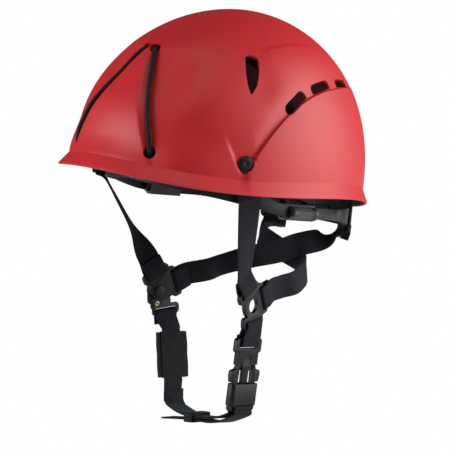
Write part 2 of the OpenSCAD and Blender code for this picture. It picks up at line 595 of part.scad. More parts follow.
function front_stations(at) = let (x = anchor_x(rivet_t, rivet_z, front_turn),
        from = anchor_pt(rivet_t, rivet_z, [-27, -1.2], front_turn), to = ear_pt(at, ear_a[0], [16, 1.2]))
    concat(
        [for (p = anchor_loop) [anchor_pt(rivet_t, rivet_z, p, front_turn), x]],
        [for (u = [0.1, 0.35, 0.65, 0.9]) [lerp(from, to, u), lerp(x, ear_x(ear_a[0]), u)]],
        [for (p = ear_loop) [ear_pt(at, ear_a[0], p), ear_x(ear_a[0])]]);
module front_strap_left() color(webbing) strap(front_stations(yoke_left_at), strap_w, 2);
module front_strap_right() color(webbing) strap(mirrored(front_stations(yoke_right_at)), strap_w, 2);

// A rear strap runs from its junction across the nape to the anchor on the other side
function rear_stations(at, gap) = let (xa = anchor_x(-rear_t, rear_z), xe = ear_x(ear_a[1])) concat(
    [for (p = backwards(ear_loop)) [ear_pt(at, ear_a[1], p), xe]],
    [[[44.5, 28, -93.5], [0, 0.15, -0.95]], [[45, 46, -92], [0.1, 0.2, -0.95]],
        [[30, 69 + gap, -86], [0, 0.05, -0.98]], [[0, 72 + gap, -77], [0, 0, -1]],
        [[-25, 70.5 + gap, -67], [-0.1, -0.1, -0.97]], [[-32.6, 87.5, -64.5], [-0.55, -0.35, -0.75]]],
    [for (p = backwards(rear_loop)) [anchor_pt(-rear_t, rear_z, p), xa]]);
rear_loop = [[-52, 0.6], [-46.4, off_bar - 0.1], [-41.6, off_bar], [-39.3, off_bar + 0.2],
    [-38, anchor_t / 2], [-38, -anchor_t / 2], [-39.3, -off_bar - 0.2], [-41.8, -off_bar],
    [-45.5, -off_bar - 1.2], [-48.5, -off_bar - 4.5], [-50, -off_bar - 9]];
module rear_strap_left() color(webbing) strap(rear_stations(yoke_left_at, 3.4), strap_w, 3);
module rear_strap_right() color(webbing) strap(mirrored(rear_stations(yoke_right_at, -3.4)), strap_w, 3);

// ---- Breakaway on the right ----------------------------------------------------------

post = [-3, -3, 0];
post_d = 5;
body_z = yoke_t / 2 + clear;
body_t = 2.4;
clip_slot = [6, -21];
module release_knob() color(black) right_side() translate(post) {
    translate([0, 0, -yoke_t / 2 - 1.2]) cylinder(d = post_d, h = yoke_t + body_t + 5, $fn = 48);
    translate([0, 0, -yoke_t / 2 - 1.4]) cylinder(d = 10, h = 1.4, $fn = 48);
    translate([0, 0, body_z + body_t + wire_d + 2 * clear]) rotate_extrude($fn = 64) polygon([[0, 0],
        [knob_d / 2 - 0.6, 0], [knob_d / 2, 0.7], [knob_d / 2 - 0.5, 2], [knob_d / 2 - 2, 3.2],
        [knob_d / 2 - 4.2, 4], [0, 4.4]]);
}
module release_clip() color(black) right_side() translate([0, 0, body_z + body_t / 2]) difference() {
    union() {
        translate([post[0], post[1] - 2, 0]) round_plate(18, 20, body_t, 4);
        translate([1, -15, 0]) round_plate(20, 10, body_t, 3);
        translate([clip_slot[0], clip_slot[1], 0]) round_plate(strap_w + 7, 9.4, body_t, 3);
    }
    translate(post) cylinder(d = post_d + 3 * clear, h = 10, center = true, $fn = 40);
    translate([post[0], post[1] + 10, 0]) cube([post_d + 3 * clear, 20, 10], center = true);
    translate([clip_slot[0], clip_slot[1], 0]) cube([strap_w + 1.4, strap_slot, 10], center = true);
    translate([post[0], post[1] - eyelet_down, 0]) cylinder(d = 4.1, h = 10, center = true, $fn = 32);
}
eyelet_down = 11.7;
module release_eyelet() color([0.80, 0.68, 0.42]) right_side()
    translate([post[0], post[1] - eyelet_down, body_z]) rotate_extrude($fn = 40) polygon([[1.2, 0],
        [2, 0], [2, body_t], [2.1, body_t + wire_d + 0.2], [3.6, body_t + wire_d + 0.4],
        [3.6, body_t + wire_d + 1], [1.2, body_t + wire_d + 1]]);
wire_z = body_z + body_t + wire_d / 2 + 0.1;
wire_half = [[4.2, 8], [3.7, 4], [3.4, 0], [3.2, -4], [2.95, -10.2], [2.8, -12], [1.9, -13.8]];
module release_wire() color(cream) right_side() cord(through(concat(
    [for (p = wire_half) [post[0] - p[0], post[1] + p[1], wire_z]],
    [[post[0], post[1] - 14.6, wire_z]],
    [for (p = backwards(wire_half)) [post[0] + p[0], post[1] + p[1], wire_z]]), 2), wire_d, 10);

// ---- Strap under the chin ------------------------------------------------------------

down_w = [0, 0.98, -0.19];
// A point of the release clip's slot frame, in the upright frame
function slot_pt(p) = let (v = yoke_right_at + yoke_x * clip_slot[0]
    + [0, 0, clip_slot[1] + p[0]] + yoke_n * (body_z + body_t / 2 + p[1])) [-v[0], v[1], v[2]];
slot_x = [-yoke_x[0], yoke_x[1], yoke_x[2]];
slot_off = body_t / 2 + strap_t / 2 + clear + 0.15;
cover_top = [-51, -11, -143];
cover_low = cover_top + unit([9, -6.5, -38]) * cover_l;
module chin_strap_right() color(webbing) strap(concat(
    [for (p = [[-13, 1.8], [-7.6, slot_off], [-3.6, slot_off], [-1.4, slot_off + 0.2],
        [0, body_t / 2], [0, -body_t / 2], [-1.4, -slot_off - 0.2], [-3.6, -slot_off],
        [-7.6, -slot_off + 0.1]]) [slot_pt(p), slot_x]],
    [[cover_top + cover_y * 4, cover_x], [cover_top, cover_x],
        [lerp(cover_top, cover_low, 0.5), cover_x], [cover_low, cover_x],
        [cover_low - cover_y * 3, cover_x], [[-41, cover_low[1] - 1.2, -190], down_w],
        [[-41, cover_low[1] - 1.4, -195], down_w],
        [[-41, cover_low[1] - 1.6, -200.5], down_w]]), strap_w, 3);

// The fabric cover round the strap: a back panel and two flaps that lap over in front
cover_y = unit(cover_top - cover_low);
cover_x = unit([0, 1, 0] - cover_y * cover_y[1]);
cover_z = cross(cover_x, cover_y);
cover_w = strap_w + 9;
cover_t = 1.5;
cover_gap = strap_t / 2 + cover_t / 2 + 2 * clear;
// Towards the head, across the cover
cover_in = (cover_z[0] > 0 ? 1 : -1) * cover_z;
cover_mid = lerp(cover_top, cover_low, 0.5);
module cover_back() color(black) framed(cover_mid + cover_in * cover_gap, cover_x, cover_y, cover_in)
    cube([cover_w, cover_l, cover_t], center = true);
flap_gap = cover_gap + cover_t + clear;
module flap(s, lift) color(black) framed(cover_mid, cover_x, cover_y, cover_in) {
    side_x = cover_w / 2 + cover_t / 2 + clear;
    translate([s * side_x, 0, (cover_gap * 2 - lift) / 2 - cover_gap + cover_t / 4])
        cube([cover_t, cover_l - 1, lift + cover_gap + cover_t / 2], center = true);
    translate([s * (cover_w / 4 + 0.8 + cover_t / 2 - 1.5), 0, -lift])
        cube([cover_w / 2 + cover_t + 3.4, cover_l - 1, cover_t], center = true);
}
module cover_flap_front() flap(-1, cover_gap + 0.1);
module cover_flap_rear() flap(1, cover_gap + cover_t + 2 * clear);

// ---- Buckle on the left --------------------------------------------------------------
// Its frame: x rearward along its width, y up towards the junction, z outward; the origin
// is the middle of the female half's mouth.

buckle_y = unit([0, 0.18, 0.984]);
buckle_x = unit([0, 0.984, -0.18]);
buckle_top = [yoke_out - 2, -14.5, -yoke_drop - 27.5];
mouth = buckle_top - buckle_y * male_l;
module buckle_frame() framed(mouth, buckle_x, buckle_y, [1, 0, 0]) children();
function buckle_pt(x, y, z) = mouth + buckle_x * x + buckle_y * y + [z, 0, 0];
male_t = 4.6;
inner_w = buckle_w - 3.4;
inner_t = buckle_t - 3;
tongue_in = female_l - 9;

module buckle_male() color(black) buckle_frame() difference() {
    union() {
        translate([0, male_l - 6, 0]) round_plate(buckle_w - 1, 12, male_t, 2.5);
        translate([0, (male_l + 8) / 2, 0]) round_plate(buckle_w - 6, male_l - 14, male_t, 4);
        translate([0, (14 - tongue_in) / 2 + 1, 0]) round_plate(7, 16 + tongue_in, 3, 1.5);
    }
    translate([0, male_l - 6.5, 0]) cube([strap_w + 1.4, strap_slot + 0.6, 20], center = true);
    for (s = [-1, 1])
        translate([s * prong_x, prong_y, 0])
            cylinder(d = 2.4 + 2 * clear, h = 10, center = true, $fn = 32);
    for (s = [-1, 1]) translate([s * (prong_x + 0.8), prong_y - 6.2, 0]) cube([9, 12, 10], center = true);
    translate([0, 20, male_t / 2]) cube([8, 8, 1.2], center = true);
}
prong_x = 9;
prong_y = 16;
prong_t = 4;
module prong(s) color(black) buckle_frame() mirror([s < 0 ? 1 : 0, 0, 0]) {
    translate([prong_x, prong_y, 0]) cylinder(d = 2.4, h = male_t, center = true, $fn = 40);
    translate([0, 0, -prong_t / 2]) linear_extrude(prong_t) polygon([[prong_x - 1, prong_y],
        [prong_x + 1, prong_y], [11.4, 12.4], [buckle_w / 2 + 1.2, 11], [buckle_w / 2 + 1.8, 7],
        [buckle_w / 2 + 0.6, 1.6], [inner_w / 2 - 1.7, 1.2], [inner_w / 2 - 1.7, -4.4],
        [inner_w / 2 - 0.4, -4.9], [inner_w / 2 - 0.8, -7.5], [inner_w / 2 - 4.4, 0.5 - tongue_in],
        [inner_w / 2 - 5.6, 0.5 - tongue_in], [inner_w / 2 - 4.8, -4], [prong_x - 1.2, 9]]);
}
module buckle_prong_front() prong(-1);
module buckle_prong_rear() prong(1);

module buckle_female() color(black) buckle_frame() difference() {
    union() {
        translate([0, -(female_l - 5) / 2, 0]) rotate([90, 0, 0])
            round_plate(buckle_w, buckle_t, female_l - 5, 3.4);
        translate([0, -female_l + 5, 0]) round_plate(buckle_w - 2, 10, 5, 3);
    }
    translate([0, -tongue_in / 2, 0]) cube([inner_w - 2.8, tongue_in + 0.4, inner_t], center = true);
    translate([0, -4.4 - (tongue_in - 4.2) / 2, 0]) cube([inner_w, tongue_in - 4.2, inner_t], center = true);
    translate([0, 0, 0]) cube([inner_w - 2.8, 2, inner_t], center = true);
    translate([0, -female_l + 4, 0]) cube([strap_w + 1.4, strap_slot, 20], center = true);
}

// The short loop of webbing between the left junction and the buckle
male_bar = buckle_pt(0, male_l - 6.5, 0);
module buckle_strap_left() color(webbing) {
    m_off = male_t / 2 + strap_t / 2 + 2 * clear;
    gap_in = buckle_pt(0, male_l + 2.6, -m_off + 0.2);
    gap_out = lerp(ear_pt(yoke_left_at, 180, [7, ear_off]), buckle_pt(0, male_l, m_off), 0.5);
    strap(concat([[gap_in + [0, 0, 0.3], -yoke_x],
                  [ear_pt(yoke_left_at, 180, [5.8, -ear_off - 0.5]), -yoke_x]],
        [for (p = [[3.6, -ear_off], [1.4, -ear_off - 0.2], [0, -yoke_t / 2], [0, yoke_t / 2],
            [1.4, ear_off + 0.2], [5, ear_off]]) [ear_pt(yoke_left_at, 180, p), -yoke_x]],
        [[gap_out, -lerp(yoke_x, buckle_x, 0.5)]],
        [for (p = [[3.6, m_off], [1.4, m_off + 0.2], [0, male_t / 2], [0, -male_t / 2],
            [1.4, -m_off - 0.2], [3.6, -m_off]]) [male_bar + buckle_y * p[0] + [p[1], 0, 0], -buckle_x]],
        [[gap_in + [0, 0, -0.3], -buckle_x]]), strap_w, 3);
}

// Under the chin: from the lap at the right strap through the female half, and back as a tail
chin_low = [0, -33, -202];
lap_x = -41 + strap_t + 3 * clear;
module chin_strap_bottom() color(webbing) {
    f = buckle_pt(0, -female_l + 4, 0);
    g = 2.5 + strap_t / 2 + 1.5 * clear;
    strap(concat([[[lap_x, cover_low[1] - 1.4, -192], down_w], [[lap_x, cover_low[1] - 1.6, -196], down_w],
        [[lap_x + 1.4, -20, -200.6], down_w], [[-28, -25, -202.4], down_w],
        [chin_low, down_w], [[26, -29, -199.5], down_w]],
        [for (p = [[7, -g - 0.4], [3.6, -g], [1.4, -g - 0.2], [0, -2.5], [0, 2.5], [1.4, g + 0.2],
            [3.6, g], [7, g - 0.2]]) [f - buckle_y * p[0] + [p[1], 0, 0], buckle_x]],
        [[[36, -29.5, -200], down_w], [[25, -31, -203], down_w], [keep_at + [6, 0.8, -1.3], down_w],
            [keep_at + [-6, -1.2, -2.5], down_w], [[-14, -37, -206.8], down_w],
            [[-25, -40, -208.2], down_w]]), strap_w, 3);
}
// The elastic ring that keeps the tail against the strap
keep_at = [4, -33, -202.8];
keep_x = unit([26, 4, 2.6]);
keep_y = unit(down_w - keep_x * (keep_x * down_w));
module strap_keeper() color(black) framed(keep_at, keep_x, keep_y, cross(keep_x, keep_y)) difference() {
    round_plate_x(8, strap_w + 6, 8.4);
    cube([30, strap_w + 3.4, 6], center = true);
}
module round_plate_x(l, w, h) rotate([0, 90, 0]) linear_extrude(l, center = true) {
    square([h, w - 3], center = true);
    square([h - 3, w], center = true);
    for (x = [-1, 1], y = [-1, 1]) translate([x * (h / 2 - 1.5), y * (w / 2 - 1.5)]) circle(1.5, $fn = 24);
}

shell();
rivet_left();
rivet_right();
strap_anchor_left();
strap_anchor_right();
front_clip_left();
front_clip_right();
side_clip_left();
side_clip_right();
rear_clip_left();
rear_clip_right();
crown_strap_diagonal_a();
crown_strap_diagonal_b();
crown_strap_cross();
crown_patch();
headband();
brow_pad();
nape_band();
nape_pad();
size_adjuster_left();
size_adjuster_right();
thumb_roller_left();
thumb_roller_right();
lamp_cord_left();
lamp_cord_right();
cord_stoppers();
cord_grommets();
rear_rivet_left();
rear_rivet_right();
rear_anchor_left();
rear_anchor_right();
front_strap_left();
front_strap_right();
rear_strap_left();
rear_strap_right();
yoke_ring_left();
yoke_ring_right();
release_knob();
release_clip();
release_wire();
release_eyelet();
cover_back();
cover_flap_front();
cover_flap_rear();
chin_strap_right();
chin_strap_bottom();
buckle_strap_left();
strap_keeper();
buckle_male();
buckle_prong_front();
buckle_prong_rear();
buckle_female();
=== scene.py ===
# %% [markdown]
# # A climbing helmet
# This notebook dresses a climbing helmet whose exact solids come from a CAD frame.
# The frame gives every piece its place, so the cells below only add what a solid model
# can't show: the smooth skin of the shell, woven straps, padded foam and real finishes.
# Lengths in the helpers are in millimetres, and each mesh is scaled to metres
# at the end, because a maker thinks of a 20 mm strap and not of a 0.02 m one.

# %% Load the frame
import math
import bpy
import bmesh
from mathutils import Vector, Matrix


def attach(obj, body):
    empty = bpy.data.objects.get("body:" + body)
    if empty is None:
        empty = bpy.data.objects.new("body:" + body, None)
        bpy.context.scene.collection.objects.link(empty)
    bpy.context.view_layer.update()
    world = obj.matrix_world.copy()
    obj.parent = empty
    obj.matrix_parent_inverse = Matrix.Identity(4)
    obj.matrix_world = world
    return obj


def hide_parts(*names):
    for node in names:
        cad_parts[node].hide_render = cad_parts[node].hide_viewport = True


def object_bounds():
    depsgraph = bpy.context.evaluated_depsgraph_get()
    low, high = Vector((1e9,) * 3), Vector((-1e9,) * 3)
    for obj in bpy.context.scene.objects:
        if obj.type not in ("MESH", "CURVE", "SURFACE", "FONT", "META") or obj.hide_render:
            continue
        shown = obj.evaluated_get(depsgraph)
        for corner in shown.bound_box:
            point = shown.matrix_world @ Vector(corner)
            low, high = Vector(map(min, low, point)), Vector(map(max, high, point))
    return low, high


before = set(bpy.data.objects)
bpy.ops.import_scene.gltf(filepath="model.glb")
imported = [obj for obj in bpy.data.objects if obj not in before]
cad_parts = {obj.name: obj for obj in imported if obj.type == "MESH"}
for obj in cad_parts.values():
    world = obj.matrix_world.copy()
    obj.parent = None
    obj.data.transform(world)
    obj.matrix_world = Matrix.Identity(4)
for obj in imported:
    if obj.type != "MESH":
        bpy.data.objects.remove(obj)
cad_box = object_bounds()
MM = 0.001

# %% [markdown]
# ## The view
# The camera stands in front of the wearer's left side, a little higher than the crown
# and a metre and a half away. A long lens keeps the dome from bulging. The view transform
# is Standard, so that a colour renders about as it is written.

# %% Camera
EYE, LENS = (1.0615, -1.0364, 0.2686), 142.96
LOOK_DOWN, LEAN, TURN = 11.95, 0.24, 45.415
scene = bpy.context.scene
scene.view_settings.view_transform = "Standard"
camera_data = bpy.data.cameras.new("view")
camera_data.lens, camera_data.sensor_width, camera_data.clip_end = LENS, 36, 20
camera = bpy.data.objects.new("view", camera_data)
camera.location = EYE
camera.rotation_euler = [math.radians(a) for a in (90 - LOOK_DOWN, LEAN, TURN)]
scene.collection.objects.link(camera)
scene.camera = camera
print("camera", tuple(round(c, 3) for c in camera.location))

# %% [markdown]
# ## Light and floor
# Three broad panels light the helmet, because a small lamp would leave hard spots on the
# plastic: a strong one behind the right of the view for the flank, a soft one at the left
# for the brow, and a weak one above. The world fills the shadows. The floor is white to
# the camera without being lit brightly, so the light on the helmet stays plain.

# %% Light panels
def light_panel(name, place, aim, width, height, power):
    data = bpy.data.lights.new(name, "AREA")
    data.shape, data.size, data.size_y, data.energy = "RECTANGLE", width, height, power
    panel = bpy.data.objects.new(name, data)
    panel.location = place
    panel.rotation_euler = (Vector(aim) - Vector(place)).to_track_quat("-Z", "Y").to_euler()
    scene.collection.objects.link(panel)


light_panel("panel_right", (1.1, 1.05, 0.4), (0.0, 0.0, 0.03), 1.4, 1.3, 29)
light_panel("panel_left", (-0.75, -1.3, 0.25), (0.0, -0.05, 0.03), 0.7, 1.0, 16)
light_panel("panel_top", (0.3, -0.3, 1.5), (0.0, 0.0, 0.0), 1.2, 1.0, 6)

# %% World
def set_inputs(node, **values):
    for socket, value in values.items():
        node.inputs[socket.replace("_", " ")].default_value = value


def white_to_camera(tree, lit, seen, output):
    path = tree.nodes.new("ShaderNodeLightPath")
    chooser = tree.nodes.new("ShaderNodeMixShader")
    tree.links.new(path.outputs["Is Camera Ray"], chooser.inputs["Fac"])
    tree.links.new(lit, chooser.inputs[1])
    tree.links.new(seen, chooser.inputs[2])
    tree.links.new(chooser.outputs["Shader"], output)


world = bpy.data.worlds.new("studio")
scene.world = world
world.use_nodes = True
sky = world.node_tree.nodes
backdrop, fill = sky["Background"], sky.new("ShaderNodeBackground")
set_inputs(backdrop, Color=(1, 1, 1, 1))
set_inputs(fill, Color=(0.9, 0.93, 1.0, 1), Strength=0.10)
white_to_camera(world.node_tree, fill.outputs["Background"], backdrop.outputs["Background"],
                sky["World Output"].inputs["Surface"])
print("made", world.name)

# %% Floor
FLOOR_HALF, FLOOR_DROP = 6, 0.05
floor_mesh = bmesh.new()
bmesh.ops.create_grid(floor_mesh, x_segments=1, y_segments=1, size=FLOOR_HALF)
floor_data = bpy.data.meshes.new("floor")
floor_mesh.to_mesh(floor_data)
floor_mesh.free()
floor = bpy.data.objects.new("floor", floor_data)
floor.location = (0, 0, cad_box[0][2] - FLOOR_DROP)
scene.collection.objects.link(floor)
floor_white = bpy.data.materials.new("floor_white")
floor_white.use_nodes = True
paint = floor_white.node_tree.nodes
lit_floor, glow = paint["Principled BSDF"], paint.new("ShaderNodeEmission")
set_inputs(lit_floor, Base_Color=(0.85, 0.85, 0.85, 1), Roughness=0.9)
white_to_camera(floor_white.node_tree, lit_floor.outputs["BSDF"], glow.outputs["Emission"],
                paint["Material Output"].inputs["Surface"])
floor_data.materials.append(floor_white)
print("floor at", round(floor.location.z, 3))

# %% [markdown]
# ## Finishes
# Every finish starts from the Principled shader. Small helpers add nodes by their type
# and set their sockets, which keeps each material to a few readable lines: `pattern` lays
# a texture on Object coordinates, and three others turn it into bumps, a change of tint
# or a change of gloss. Constant values go straight on the shader's own sockets.

# %% Finish helpers
def shader_of(material):
    return material.node_tree.nodes["Principled BSDF"]


def finish_named(name, colour, rough, **sockets):
    material = bpy.data.materials.new(name)
    material.use_nodes = True
    set_inputs(shader_of(material), Base_Color=(*colour, 1), Roughness=rough, **sockets)
    return material


def add_node(material, kind, **settings):
    node = material.node_tree.nodes.new("ShaderNode" + kind)
    for key, value in settings.items():
        if key.replace("_", " ") in node.inputs:
            set_inputs(node, **{key: value})
        else:
            setattr(node, key, value)
    return node


def join(material, start, out, end, into):
    material.node_tree.links.new(start.outputs[out], end.inputs[into])


def pattern(material, kind, **settings):
    node = add_node(material, kind, **settings)
    join(material, add_node(material, "TexCoord"), "Object", node, "Vector")
    return node


def bump_from(material, node, out, strength, distance, after=None):
    bump = add_node(material, "Bump", Strength=strength, Distance=distance)
    join(material, node, out, bump, "Height")
    if after is not None:
        join(material, after, "Normal", bump, "Normal")
    join(material, bump, "Normal", shader_of(material), "Normal")
    return bump


def tint_between(material, node, out, dark, light, low, high):
    ramp = add_node(material, "ValToRGB")
    for stop, at, colour in zip(ramp.color_ramp.elements, (low, high), (dark, light)):
        stop.position, stop.color = at, (*colour, 1)
    join(material, node, out, ramp, "Fac")
    join(material, ramp, "Color", shader_of(material), "Base Color")


def gloss_between(material, node, smooth, rough):
    gloss = add_node(material, "MapRange", To_Min=smooth, To_Max=rough)
    join(material, node, "Fac", gloss, "Value")
    join(material, gloss, "Result", shader_of(material), "Roughness")

# %% [markdown]
# The shell is injection-moulded plastic with a satin finish. Up close it has a faint
# ripple from the mould and an uneven gloss where hands have rubbed it. The inside
# is left rough by the mould and lies in the shade, and its much darker red is painted shade.

# %% Shell plastic
shell_red = finish_named("shell_red", (0.58, 0.012, 0.015), 0.5, Specular_IOR_Level=0.5)
cloud = pattern(shell_red, "TexNoise", Scale=14.0, Detail=3.0)
tint_between(shell_red, cloud, "Fac", (0.56, 0.011, 0.014), (0.60, 0.013, 0.016), 0.3, 0.7)
gloss_between(shell_red, cloud, 0.47, 0.53)
ripple = pattern(shell_red, "TexNoise", Scale=420.0, Detail=2.0)
bump_from(shell_red, ripple, "Fac", 0.12, 0.0004)
# Painted shade: the inner wall gets a far darker red than the outside, standing in for the shade inside
# the shell; its noise is only a faint random tone
shell_inside_painted_shade = finish_named("shell_inside_painted_shade", (0.10, 0.004, 0.006), 0.75)
mould_mark = pattern(shell_inside_painted_shade, "TexNoise", Scale=30.0, Detail=4.0)
tint_between(shell_inside_painted_shade, mould_mark, "Fac", (0.08, 0.003, 0.005), (0.12, 0.005, 0.007), 0.3, 0.7)
print("made", shell_red.name, shell_inside_painted_shade.name)

# %% [markdown]
# Clips, anchors, rings and the buckle are black nylon with a fine spark-eroded texture.
# The size adjusters are the same nylon in grey. Both come from one function, since only
# their colours and their gloss differ.

# %% Black and grey nylon
def nylon(name, dark, light, rough):
    material = finish_named(name, dark, rough, Specular_IOR_Level=0.3)
    worn = pattern(material, "TexNoise", Scale=60.0, Detail=4.0)
    tint_between(material, worn, "Fac", dark, light, 0.35, 0.75)
    gloss_between(material, worn, rough - 0.06, rough + 0.1)
    speck = pattern(material, "TexNoise", Scale=2600.0, Detail=3.0, Roughness=0.6)
    bump_from(material, speck, "Fac", 0.25, 0.00012)
    return material


black_nylon = nylon("black_nylon", (0.003, 0.003, 0.004), (0.008, 0.008, 0.010), 0.42)
grey_nylon = nylon("grey_nylon", (0.055, 0.057, 0.062), (0.085, 0.088, 0.095), 0.45)
print("made", black_nylon.name, grey_nylon.name)

# %% [markdown]
# Webbing is a flat weave of fine ribs that run across the strap, with thicker warp yarns
# along it. The pattern follows each strap's own UV map, which holds real distances, so
# a rib is a millimetre wide on every strap and turns with it.

# %% Woven webbing
def woven(name, dark, light):
    material = finish_named(name, dark, 0.8, Sheen_Weight=0.08, Sheen_Roughness=0.4,
                            Sheen_Tint=(0.55, 0.65, 0.9, 1), Specular_IOR_Level=0.25)
    along = add_node(material, "UVMap", uv_map="weave")
    stretch = add_node(material, "Mapping", Scale=(1 / MM, 1 / MM, 1))
    join(material, along, "UV", stretch, "Vector")
    rib = add_node(material, "TexWave", wave_type="BANDS", bands_direction="X", Scale=0.32,
                   Distortion=0.6, Detail=1.0)
    yarn = add_node(material, "TexWave", wave_type="BANDS", bands_direction="DIAGONAL", Scale=0.55,
                    Distortion=0.4, Detail=1.0)
    join(material, stretch, "Vector", rib, "Vector")
    join(material, stretch, "Vector", yarn, "Vector")
    both = add_node(material, "Math", operation="MULTIPLY")
    join(material, rib, "Fac", both, 0)
    join(material, yarn, "Fac", both, 1)
    tint_between(material, both, "Value", dark, light, 0.1, 0.9)
    first = bump_from(material, rib, "Fac", 0.5, 0.0002)
    bump_from(material, yarn, "Fac", 0.35, 0.00015, after=first)
    return material


strap_weave = woven("strap_weave", (0.003, 0.0035, 0.006), (0.013, 0.015, 0.022))
print("made", strap_weave.name)

# %% [markdown]
# The cover and the pads are soft cloths without a direction: a looped nap on the cover,
# which its hooks grip, and a knitted face on the pads.

# %% Napped and knitted cloth
def napped(name, dark, light, scale, depth):
    material = finish_named(name, dark, 0.95, Sheen_Weight=0.15, Sheen_Roughness=0.5,
                            Specular_IOR_Level=0.25)
    loops = pattern(material, "TexVoronoi", Scale=scale)
    fuzz = pattern(material, "TexNoise", Scale=scale * 0.4, Detail=5.0)
    tint_between(material, fuzz, "Fac", dark, light, 0.3, 0.7)
    first = bump_from(material, loops, "Distance", 0.6, depth)
    bump_from(material, fuzz, "Fac", 0.4, depth, after=first)
    return material


cover_nap = napped("cover_nap", (0.003, 0.003, 0.004), (0.011, 0.011, 0.014), 1500.0, 0.0004)
pad_knit = napped("pad_knit", (0.012, 0.012, 0.014), (0.03, 0.03, 0.034), 900.0, 0.0003)
print("made", cover_nap.name, pad_knit.name)

# %% [markdown]
# The elastic cords have a braided jacket, which small round cells suggest at
# this size. The spring wire is drawn steel, and its eyelet is tarnished brass.

# %% Elastic and metal
cord_braid = finish_named("cord_braid", (0.004, 0.004, 0.005), 0.7, Sheen_Weight=0.05,
                          Specular_IOR_Level=0.25)
braid = pattern(cord_braid, "TexVoronoi", Scale=1100.0)
bump_from(cord_braid, braid, "Distance", 0.5, 0.0003)
tint_between(cord_braid, braid, "Distance", (0.012, 0.011, 0.012), (0.003, 0.003, 0.0035), 0.1, 0.7)
spring_steel = finish_named("spring_steel", (0.72, 0.68, 0.56), 0.28, Metallic=1.0)
drawn = pattern(spring_steel, "TexNoise", Scale=900.0, Detail=2.0)
bump_from(spring_steel, drawn, "Fac", 0.15, 0.0001)
eyelet_brass = finish_named("eyelet_brass", (0.70, 0.55, 0.28), 0.35, Metallic=1.0)
tarnish = pattern(eyelet_brass, "TexNoise", Scale=500.0, Detail=3.0)
tint_between(eyelet_brass, tarnish, "Fac", (0.60, 0.46, 0.22), (0.78, 0.66, 0.40), 0.3, 0.7)
print("made", cord_braid.name, spring_steel.name, eyelet_brass.name)

# %% [markdown]
# ## Small mesh helpers
# A piece is built in millimetres in a bmesh, then scaled to metres and linked. `show`
# does that last step for every piece: it gives the mesh its finish, lets it ride on its
# CAD body and says which CAD nodes it stands for. The skin, the straps, the cords, the
# pads and the cover all start as the same flat grid.

# %% Show a finished mesh
def new_grid(columns, rows):
    mesh = bmesh.new()
    bmesh.ops.create_grid(mesh, x_segments=columns, y_segments=rows, size=1)
    return mesh


def column_of(v, columns):
    return round((v.co.x + 1) / 2 * columns)


def show(name, mesh, finish, body, stands_for, sharp):
    for vertex in mesh.verts:
        vertex.co *= MM
    for edge in mesh.edges:
        if len(edge.link_faces) == 2 and edge.calc_face_angle(0) > math.radians(sharp):
            edge.smooth = False
    for face in mesh.faces:
        face.smooth = True
    data = bpy.data.meshes.new(name)
    mesh.to_mesh(data)
    mesh.free()
    data.materials.append(finish)
    piece = bpy.data.objects.new(name, data)
    scene.collection.objects.link(piece)
    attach(piece, body)
    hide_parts(*stands_for)
    return piece

# %% [markdown]
# A CAD node arrives as loose triangles. For small moulded parts the CAD shape is right,
# so a merged copy of it gets rounded edges, which catch the light as real ones do.

# %% Round the edges of a CAD copy
CORNER, FLAT = math.radians(25), math.radians(1)


def moulded(node, finish, body, edge, seat=None):
    mesh = bmesh.new()
    mesh.from_mesh(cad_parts[node].data)
    mesh.transform(Matrix.Scale(1 / MM, 4))
    if seat:
        for v in mesh.verts:
            v.co += seat(v.co)
    bmesh.ops.remove_doubles(mesh, verts=mesh.verts, dist=0.002)
    bmesh.ops.dissolve_limit(mesh, angle_limit=FLAT, verts=mesh.verts, edges=mesh.edges)
    corners = [e for e in mesh.edges if len(e.link_faces) == 2 and e.calc_face_angle(0) > CORNER]
    if edge:
        bmesh.ops.bevel(mesh, geom=corners, offset=edge, offset_type="OFFSET", segments=2, profile=0.5,
                        affect="EDGES", clamp_overlap=True, material=-1)
    show(node.replace("_", "-"), mesh, finish, body, (node,), sharp=30)

# %% [markdown]
# ## The shell's form
# The shell is a superellipse of revolution, wider at the ears than an egg and flatter on
# top. Angles run round the head: 0 at the brow, 90 at the left ear, 180 at the nape. The
# shell is tilted nose up by 11 degrees, so its helpers work in a tilted frame and `tip`
# turns a point upright at the end. A formula suits this shape better than a sculpted
# mesh, because every hole, cord and clip can then ask where the surface is.

# %% Plain dome
SHELL_A, SHELL_B, SHELL_H, WALL = 105.0, 136.0, 138.0, 3.0
CROWN_BACK, RIM_TOP, RIM_H, RIM_OUT = 7.0, 2.5, 11.0, 6.5
PITCH = math.radians(11)
DOME_P, DOME_Q = 1.95, 2.2


def deg_sin(a):
    return math.sin(math.radians(a))


def deg_cos(a):
    return math.cos(math.radians(a))


def tip(p):
    c, s = math.cos(PITCH), math.sin(PITCH)
    return Vector((p[0], p[1] * c + p[2] * s, -p[1] * s + p[2] * c))


def dome_r(z):
    return (1 - (max(z, 0) / SHELL_H) ** DOME_Q) ** (1 / DOME_P)


def plain_pt(t, z):
    r = dome_r(z)
    return Vector((SHELL_A * r * deg_sin(t),
                   -SHELL_B * r * deg_cos(t) + CROWN_BACK * (max(z, 0) / SHELL_H) ** 2, z))


def dome_n(t, z):
    p, s = plain_pt(t, z), max(z, 0) / SHELL_H
    n = Vector((p.x / SHELL_A ** 2, (p.y - CROWN_BACK * s * s) / SHELL_B ** 2,
                DOME_Q / 2 * s ** (DOME_Q - 1) / SHELL_H))
    return n.normalized()


print("brow at", [round(c, 1) for c in tip(plain_pt(0, 0))], "mm")

# %% [markdown]
# The brow isn't part of that dome. It bulges a little at its sides, dips in a shallow
# valley in the middle, and is nearly flat from cord to cord, so that the two lamp cords
# run straight. `ease` is a soft switch from 0 to 1, and `spread` is a bell curve.

